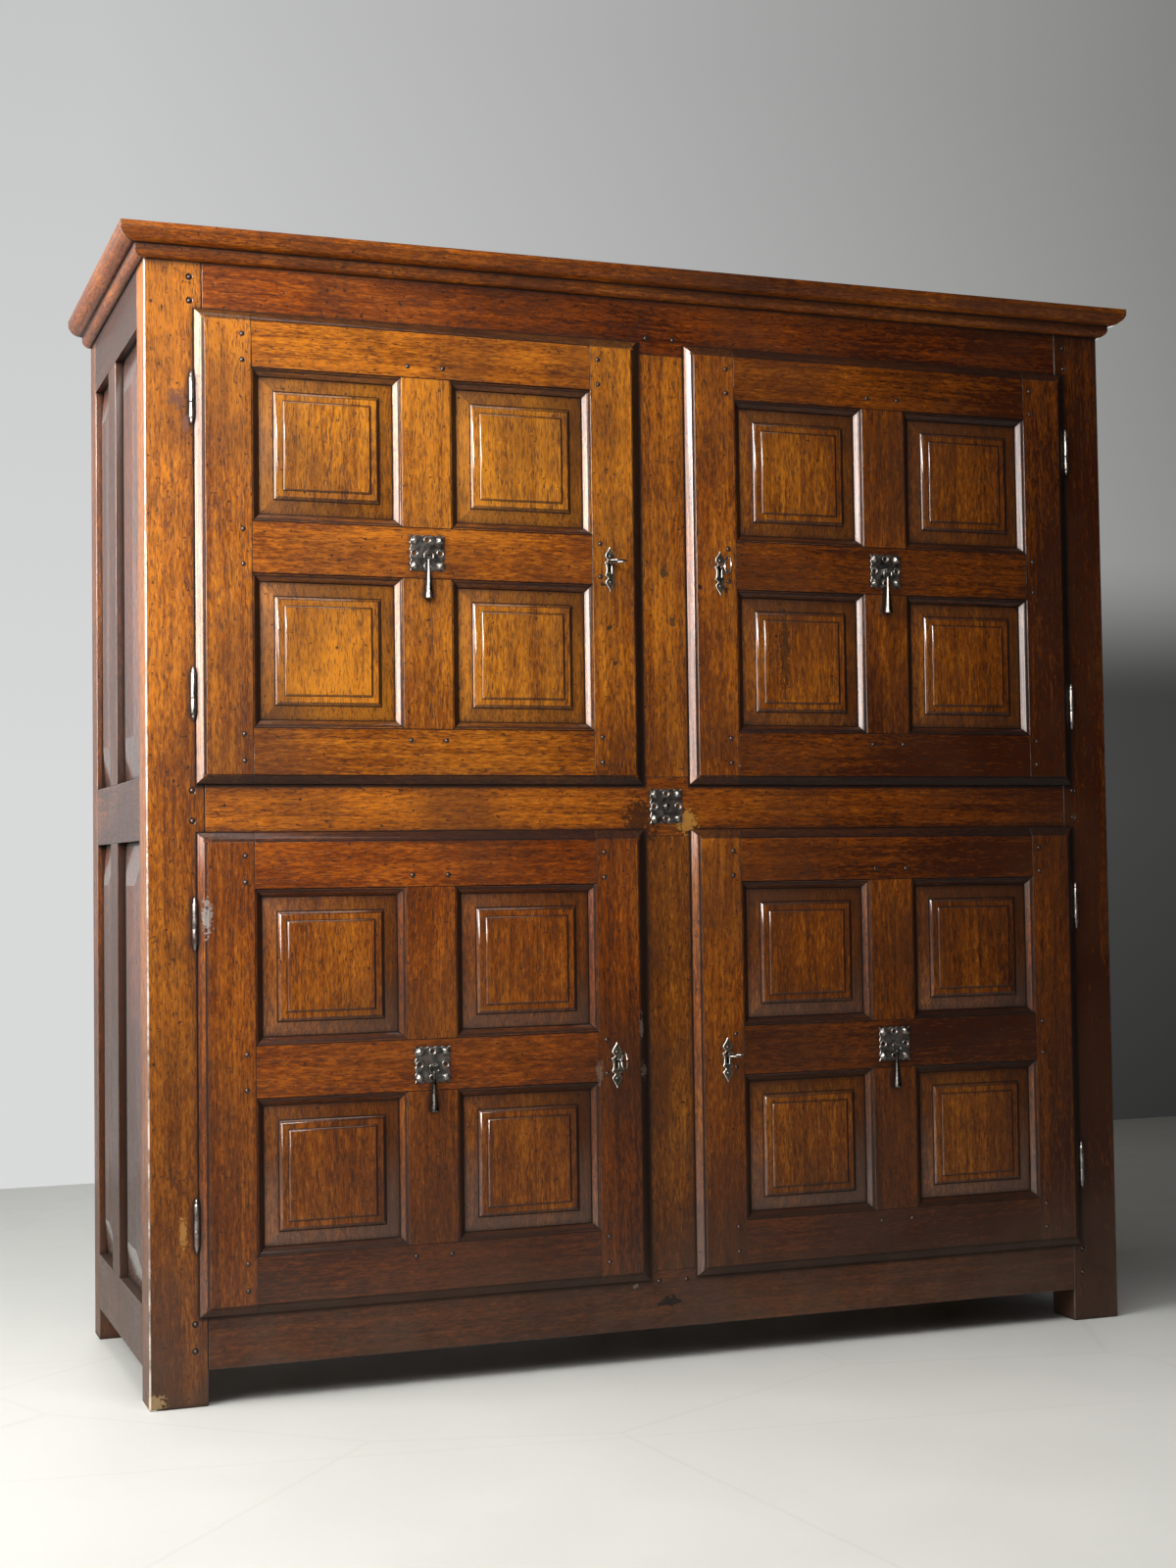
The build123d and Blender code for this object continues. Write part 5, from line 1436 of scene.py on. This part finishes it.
class CUPBOARD_OT_escutcheons(bpy.types.Operator):
    """Keyhole plates with their nails"""

    bl_idname = "cupboard.escutcheons"
    bl_label = "Escutcheons"

    # Half width in millimetres, and height as a share of the plate's half height.
    half_outline = [(0.0, 1.0), (1.6, 0.90), (4.4, 0.78), (7.4, 0.68), (8.4, 0.585), (7.4, 0.50),
                    (4.6, 0.435), (3.6, 0.385), (5.6, 0.345), (8.8, 0.315), (9.2, 0.26), (7.6, 0.19),
                    (6.6, 0.08), (6.6, -0.08), (7.4, -0.19), (9.0, -0.25), (8.4, -0.30), (5.2, -0.34),
                    (3.6, -0.385), (4.6, -0.43), (7.4, -0.49), (8.4, -0.56), (7.2, -0.65),
                    (4.2, -0.77), (1.5, -0.90), (0.0, -1.0)]

    def execute(self, context):
        for door in DOORS:
            node = door + "_escutcheon"
            lo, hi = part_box(node)
            x, z, half = (lo.x + hi.x) / 2, (lo.z + hi.z) / 2, (hi.z - lo.z) / 2
            back = member_face(door + "_door_rails")
            right = [(x + dx * MM, z + dz * half) for dx, dz in self.half_outline]
            left = [(x - dx * MM, z + dz * half) for dx, dz in reversed(self.half_outline[1:-1])]
            hole = self.keyhole(joint_place(door + "_key_turn"))
            mesh = cut_plate(right + left, [hole], back, 0.5 * MM)
            flat_faces(mesh)
            plate = loose_object(door + "_keyhole_plate", mesh, finish_of("Brown iron"))
            heads = [(x, back - 1.3 * MM, z + rise) for rise in (-22 * MM, 22 * MM)]
            nails = studs(node + "_nails", heads, 2.5 * MM, 2.0 * MM, 3.0, 0.05, "Handled iron")
            finish_piece(join_meshes(plate, [nails]), door + "_door", (node,))
        return {"FINISHED"}

    @staticmethod
    def keyhole(key):
        """(x, z) points of a round hole with a slot under it."""
        slot, radius, drop = 2.5 * MM, 4.2 * MM, 16.0 * MM
        cut = math.asin(slot / radius)
        turns = [cut - math.pi / 2 + (2 * math.pi - 2 * cut) * step / 12 for step in range(13)]
        hole = [(key.x - radius * math.cos(turn), key.z + radius * math.sin(turn)) for turn in turns]
        return hole + [(key.x + slot, key.z - drop), (key.x - slot, key.z - drop)]


class CUPBOARD_OT_keys(bpy.types.Operator):
    """Keys in their locks"""

    bl_idname = "cupboard.keys"
    bl_label = "Keys"

    # Radius of the shank and distance behind the bow, in millimetres, then the same from its far end.
    collars = [(0, 0), (2.4, 0), (2.8, 2), (4.5, 4.0), (4.5, 6.4), (3.1, 7.6), (3.0, 10.6), (4.3, 11.6),
               (4.3, 13.4), (3.0, 14.4)]
    tip = [(3.0, -0.8), (2.2, 0), (0, 0)]
    bow_length = 29 * MM

    def execute(self, context):
        for door in DOORS:
            node = door + "_key"
            place = joint_place(door + "_key_turn")
            lo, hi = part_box(node)
            key = Vector((place.x, 0, place.z))
            mesh = bmesh.new()
            self.add_bow(mesh, lo, hi, key)
            start = lo.y + self.bow_length - 2.6 * MM
            lathe(mesh, in_mm(self.collars, start) + in_mm(self.tip, hi.y), key, (0, 1, 0), 20)
            outward(mesh)
            self.add_bit(mesh, node, key, place.y + 30 * MM)
            new_piece(door + "_key_iron", mesh, "Key iron", door + "_key", (node,))
        return {"FINISHED"}

    def add_bow(self, mesh, lo, hi, key):
        """The oval bow, thicker at its back, level or upright as the key is turned."""
        thick = 1.7 * MM
        size = hi - lo
        level = size.x > size.z
        across = Vector((1, 0, 0)) if level else Vector((0, 0, 1))
        half_width = (size.x if level else size.z) / 2 - thick
        half_length = self.bow_length / 2 - thick
        centre = key + Vector((0, lo.y + self.bow_length / 2, 0))
        turns = [2 * math.pi * step / 36 for step in range(36)]
        ring = [centre + across * half_width * math.cos(turn)
                + Vector((0, 1, 0)) * half_length * math.sin(turn) for turn in turns]
        wire(mesh, ring, [thick * (1.12 + 0.18 * math.sin(turn)) for turn in turns], closed=True)

    @staticmethod
    def add_bit(mesh, node, key, behind):
        """The bit, behind the door, cut with two wards."""
        copy = merged_copy(node)
        rays = [(v.co.y, v.co - Vector((key.x, v.co.y, key.z))) for v in copy.verts if v.co.y > behind]
        copy.free()
        reach = max((ray for _, ray in rays), key=lambda ray: ray.length)
        depths = [depth for depth, ray in rays if ray.length > 6 * MM]
        low, high = min(depths), max(depths)
        out = Vector((round(reach.x / reach.length), 0, round(reach.z / reach.length)))
        side = Vector((out.z, 0, -out.x)) * 1.6 * MM
        notch = low + 1.4 * MM
        for start, stop, front in ((2.0, 5.5, low), (5.5, 7.2, notch), (7.2, 10.4, low)):
            box(mesh, key + out * start * MM - side + Vector((0, front, 0)),
                key + out * stop * MM + side + Vector((0, high, 0)))


class CUPBOARD_OT_hinges(bpy.types.Operator):
    """Pin hinges: an eye on the door above a pintle on the post"""

    bl_idname = "cupboard.hinges"
    bl_label = "Hinges"

    # Radius and height over the low end, in millimetres, and for the pin the same from its top.
    eye = [(0, 0), (2.1, 0), (4.032, 0), (4.2, 1.2), (4.116, 20), (4.2, 38), (3.78, 40), (2.6, 41.5),
           (3.0, 43.5), (1.9, 47.5)]
    pintle = [(0, 0), (1.9, 3.5), (3.0, 7.5), (2.6, 9.5), (3.78, 11), (4.2, 13), (4.2, 34.5),
              (3.99, 35.7), (2.0, 35.7)]
    pin_top = [(2.0, -0.6), (1.4, 0), (0, 0)]
    half_leaf = 0.9 * MM

    def execute(self, context):
        hinges = {door: joint_place(door + "_door_hinge") for door in DOORS}
        mesh = bmesh.new()
        for lo, hi in solid_spans("hinge_pintles"):
            axis = min(hinges.values(), key=lambda hinge: abs(hinge.x - lo.x))
            self.turned(mesh, axis, in_mm(self.pintle, lo.z) + in_mm(self.pin_top, hi.z))
            box(mesh, (axis.x - self.half_leaf, axis.y, lo.z + 11 * MM),
                (axis.x + self.half_leaf, hi.y, lo.z + 35.5 * MM))
        outward(mesh)
        new_piece("hinge_pins_on_posts", mesh, "Worn iron", "carcass", ("hinge_pintles",))
        for door, hinge in hinges.items():
            node = door + "_hinge_eyes"
            mesh = bmesh.new()
            for lo, hi in solid_spans(node):
                self.turned(mesh, hinge, in_mm(self.eye, lo.z) + [(0, hi.z)])
                near, far = (hinge.x - 2 * MM, lo.x) if hinge.x > 0 else (hinge.x + 2 * MM, hi.x)
                leaf_y = hi.y if hi.y < hinge.y else hinge.y + 3 * MM
                box(mesh, (near, leaf_y - self.half_leaf, lo.z + 0.2 * MM),
                    (far, leaf_y + self.half_leaf, lo.z + 39.8 * MM))
            outward(mesh)
            new_piece(door + "_hinge_iron", mesh, "Worn iron", door + "_door", (node,))
        return {"FINISHED"}

    @staticmethod
    def turned(mesh, axis, profile):
        """One half of the barrel, with its spear point."""
        lathe(mesh, profile, Vector((axis.x, axis.y, 0)), (0, 0, 1), 20)


class CUPBOARD_OT_locks(bpy.types.Operator):
    """Lock cases and bolts behind the doors"""

    bl_idname = "cupboard.locks"
    bl_label = "Locks"

    def execute(self, context):
        for door in DOORS:
            for node, name, body, finish, slot in (
                    ("_lock_case", "_lock_box", "_door", "Black iron", "iron"),
                    ("_lock_bolt", "_bolt_bar", "_bolt", "Handled iron", "worn_iron")):
                mesh = merged_copy(door + node)
                round_edges(mesh, 0.4 * MM, segments=1, angle=50)
                even_shading(new_piece(door + name, mesh, finish, door + body, (door + node,)))
        return {"FINISHED"}


# ---- Stage ---------------------------------------------------------------------------------------
def hang(name, data, place, target, energy, colour):
    """Puts a lamp in the scene, looking at a target."""
    data.energy = energy
    data.color = colour
    lamp = bpy.data.objects.new(name, data)
    lamp.location = place
    lamp.rotation_euler = (Vector(target) - Vector(place)).to_track_quat("-Z", "Y").to_euler()
    bpy.context.scene.collection.objects.link(lamp)
    return lamp


def soft_lamp(name, place, target, size, energy, colour, only_gloss=False, spared=()):
    """A square area lamp, or a pale screen that only shows in the wax, that spares some sheets."""
    data = bpy.data.lights.new(name, "AREA")
    data.shape = "RECTANGLE"
    data.size, data.size_y = size
    lamp = hang(name, data, place, target, energy, colour)
    lamp.visible_diffuse = not only_gloss
    if spared:
        left_out = bpy.data.collections.new(name + " leaves out")
        for sheet in spared:
            left_out.objects.link(sheet)
        for entry in left_out.collection_objects:
            entry.light_linking.link_state = "EXCLUDE"
        lamp.light_linking.receiver_collection = left_out


def pool_lamp(name, place, target, angle, energy, colour):
    """A round lamp whose pool of light has a soft edge."""
    data = bpy.data.lights.new(name, "SPOT")
    data.spot_size = math.radians(angle)
    data.spot_blend = 1.0
    data.shadow_soft_size = 0.25
    hang(name, data, place, target, energy, colour)


class CUPBOARD_OT_stage(bpy.types.Operator):
    """Floor, wall, lamps and camera"""

    bl_idname = "cupboard.stage"
    bl_label = "Stage"

    def execute(self, context):
        studio = context.scene.cupboard.studio
        white = (1.0, 1.0, 1.0)
        sheets = [self.floor(studio), self.wall(studio)]
        self.surround(studio)
        soft_lamp("Key", (-2.55, -0.75, 2.05), (-0.2, -0.25, 1.4), (2.3, 1.7), studio.key,
                  (1.0, 0.985, 0.96))
        soft_lamp("Screen left", (-2.46, -1.75, 1.85), (-0.26, -1.08, 1.3), (4.1, 2.0),
                  1.35 * studio.screen, (1.0, 0.95, 0.92), only_gloss=True)
        soft_lamp("Screen behind", (-2.75, 2.0, 1.75), (-0.88, 0.1, 1.4), (0.45, 2.0),
                  0.33 * studio.screen, white, only_gloss=True, spared=sheets)
        soft_lamp("Screen front", (-1.62, -4.0, 2.20), (-0.75, -0.29, 1.35), (1.1, 1.0),
                  0.90 * studio.screen, (1.0, 0.93, 0.90), only_gloss=True)
        soft_lamp("Top", (-0.8, -1.1, 3.9), (-0.6, -1.0, 0.0), (3.8, 1.2), studio.top, (1.0, 0.99, 0.975))
        soft_lamp("Fill", (2.7, 1.75, 1.9), (0.6, 0.25, 1.0), (2.2, 1.8), studio.fill, white, spared=sheets)
        pool_lamp("Pool", (-2.0, -2.7, 2.4), (-0.85, -0.28, 1.5), 46, studio.pool, (1.0, 0.98, 0.95))
        self.camera(context, studio)
        context.scene.view_settings.view_transform = "Standard"
        return {"FINISHED"}

    @staticmethod
    def sheet(name, corners, material):
        """A one-sided sheet of the stage."""
        data = bpy.data.meshes.new(name)
        data.from_pydata(corners, [], [(0, 1, 2, 3)])
        data.materials.append(material)
        sheet = bpy.data.objects.new(name, data)
        bpy.context.scene.collection.objects.link(sheet)
        return sheet

    def floor(self, studio):
        """A pale painted floor with faint joints, scuffs and cracks, painted shade on the left and a painted
        shadow right of the cupboard.
        """
        material, graph = new_material("Painted floor")
        place = graph.place()
        sides = graph.split(place)
        turned = graph.add("ShaderNodeMapping", {"Vector": place, "Rotation": (0, 0, math.radians(8))})
        row = graph.math("FRACT", graph.times(graph.split(turned.outputs[0])["Y"], 1.35))
        scuffs = graph.remap(graph.noise(place, 3.0, 6.0, 0.7), 0.45, 0.75)
        # A painted shadow to the right of the cupboard
        shade = graph.times(graph.remap(sides["X"], 0.75, 1.25, smooth=True),
                            graph.remap(sides["Y"], -0.55, 0.1, smooth=True))
        cells = graph.add("ShaderNodeTexVoronoi", {"Vector": place, "Scale": 0.8, "Randomness": 1.0},
                          feature="DISTANCE_TO_EDGE")
        cracks = graph.remap(cells.outputs["Distance"], 0.001, 0.004, 1.0, 0.0)
        scuffed = graph.mix(graph.times(scuffs, 0.10), (*studio.floor, 1), (0.62, 0.615, 0.57, 1))
        colour = graph.layered(
            scuffed,
            (graph.times(graph.math("LESS_THAN", row, 0.006), 0.16), (0.5, 0.5, 0.46)),
            # Painted shade, darker to the left
            (graph.remap(sides["X"], -2.2, -0.4, 0.24, 0.0), (0.30, 0.30, 0.29)),
            (graph.times(shade, 0.62), (0.22, 0.21, 0.18)),
            (graph.times(cracks, 0.10), (0.4, 0.39, 0.35)),
        )
        graph.surface({"Base Color": colour, "Roughness": graph.remap(scuffs, 0.0, 1.0, 0.42, 0.6)})
        return self.sheet("floor", [(-9, -9, 0), (9, -9, 0), (9, 9, 0), (-9, 9, 0)], material)

    def wall(self, studio):
        """A glowing grey wall, with painted light on the left and a painted shadow low on the right, seen
        from its front only.
        """
        material, graph = new_material("Grey wall")
        place = graph.split(graph.place())
        across = graph.remap(place["X"], -0.6, 3.1)
        colour = graph.mix(across, (*studio.wall_left, 1), (*studio.wall_right, 1))
        # A painted shadow of the cupboard, deeper lower down
        shade = graph.times(graph.remap(place["Z"], 1.85, 1.35, smooth=True),
                            graph.remap(place["X"], 0.9, 2.3, smooth=True))
        deeper = graph.remap(place["Z"], 0.0, 1.4, 0.90, 0.80)
        lit = graph.minus(graph.remap(place["Z"], 1.0, 3.3, 1.0, 0.80), graph.times(shade, deeper))
        path = graph.add("ShaderNodeLightPath").outputs
        seen = graph.largest(*(path[f"Is {kind} Ray"] for kind in ("Camera", "Glossy", "Transmission")))
        strength = graph.times(lit, graph.remap(seen, 0.0, 1.0, 0.25, 1.0))
        glow = graph.add("ShaderNodeEmission", {"Color": colour, "Strength": strength})
        either = graph.add("ShaderNodeMixShader", {
            0: graph.add("ShaderNodeNewGeometry").outputs["Backfacing"], 1: glow.outputs[0],
            2: graph.add("ShaderNodeBsdfTransparent").outputs[0]})
        graph.add("ShaderNodeOutputMaterial", {"Surface": either.outputs[0]})
        return self.sheet("wall", [(-9, 2.3, 0), (9, 2.3, 0), (9, 2.3, 7), (-9, 2.3, 7)], material)

    @staticmethod
    def surround(studio):
        """A grey surround, pale behind and on the left, dark in front and on the right."""
        world = bpy.data.worlds.new("Surround")
        world.use_nodes = True
        world.node_tree.nodes.clear()
        graph = Graph(world.node_tree)
        ray = graph.split(graph.add("ShaderNodeTexCoord").outputs["Generated"])
        lean = graph.minus(ray["Y"], graph.times(ray["X"], 0.35))
        strength = graph.remap(lean, -0.45, 0.55, studio.sky_front, studio.sky_back, smooth=True)
        glow = graph.add("ShaderNodeBackground", {"Color": (0.97, 0.985, 1.0, 1), "Strength": strength})
        graph.add("ShaderNodeOutputWorld", {"Surface": glow.outputs[0]})
        bpy.context.scene.world = world

    @staticmethod
    def camera(context, studio):
        """The camera, a little above the middle of the doors and to the left."""
        data = bpy.data.cameras.new("Camera")
        data.lens = studio.lens
        data.sensor_width = 36
        camera = bpy.data.objects.new("Camera", data)
        eye = (-1.40643, -3.68918, 0.82760)
        turn, rise, roll = 0.35544, 0.03969, -0.01362  # radians: to the right, upwards, and on its side
        ahead = Vector((math.sin(turn), math.cos(turn), 0))
        right = Vector((math.cos(turn), -math.sin(turn), 0))
        up = Vector((0, 0, 1))
        look = ahead * math.cos(rise) + up * math.sin(rise)
        above = up * math.cos(rise) - ahead * math.sin(rise)
        side = right * math.cos(roll) + above * math.sin(roll)
        top = above * math.cos(roll) - right * math.sin(roll)
        rows = [(side[i], top[i], -look[i], eye[i]) for i in range(3)]
        camera.matrix_world = Matrix((*rows, (0, 0, 0, 1)))
        context.scene.collection.objects.link(camera)
        context.scene.camera = camera


class CUPBOARD_PT_sidebar(bpy.types.Panel):
    """Lists the steps and their settings"""

    bl_idname = "CUPBOARD_PT_sidebar"
    bl_label = "Cupboard"
    bl_space_type = "VIEW_3D"
    bl_region_type = "UI"
    bl_category = "Cupboard"

    def draw(self, context):
        settings = context.scene.cupboard
        for operator in STEPS:
            self.layout.operator(operator.bl_idname)
        for group in (settings.wood, settings.iron, settings.studio):
            column = self.layout.column(align=True)
            for name in group.bl_rna.properties.keys():
                if name not in ("rna_type", "name"):
                    column.prop(group, name)


STEPS = (CUPBOARD_OT_carcass, CUPBOARD_OT_cornice, CUPBOARD_OT_doors, CUPBOARD_OT_pegs,
         CUPBOARD_OT_plates, CUPBOARD_OT_pulls, CUPBOARD_OT_escutcheons, CUPBOARD_OT_keys,
         CUPBOARD_OT_hinges, CUPBOARD_OT_locks, CUPBOARD_OT_stage)
CLASSES = (WoodSettings, IronSettings, StudioSettings, CupboardSettings) + STEPS + (CUPBOARD_PT_sidebar,)


def register():
    for item in CLASSES:
        bpy.utils.register_class(item)
    bpy.types.Scene.cupboard = PointerProperty(type=CupboardSettings)


def unregister():
    del bpy.types.Scene.cupboard
    for item in reversed(CLASSES):
        bpy.utils.unregister_class(item)


def main():
    """Builds everything in order."""
    register()
    for step in STEPS:
        group, call = step.bl_idname.split(".")
        result = getattr(getattr(bpy.ops, group), call)()
        if result != {"FINISHED"}:
            raise RuntimeError(f"{step.bl_idname} did not finish")


if __name__ == "__main__":
    main()
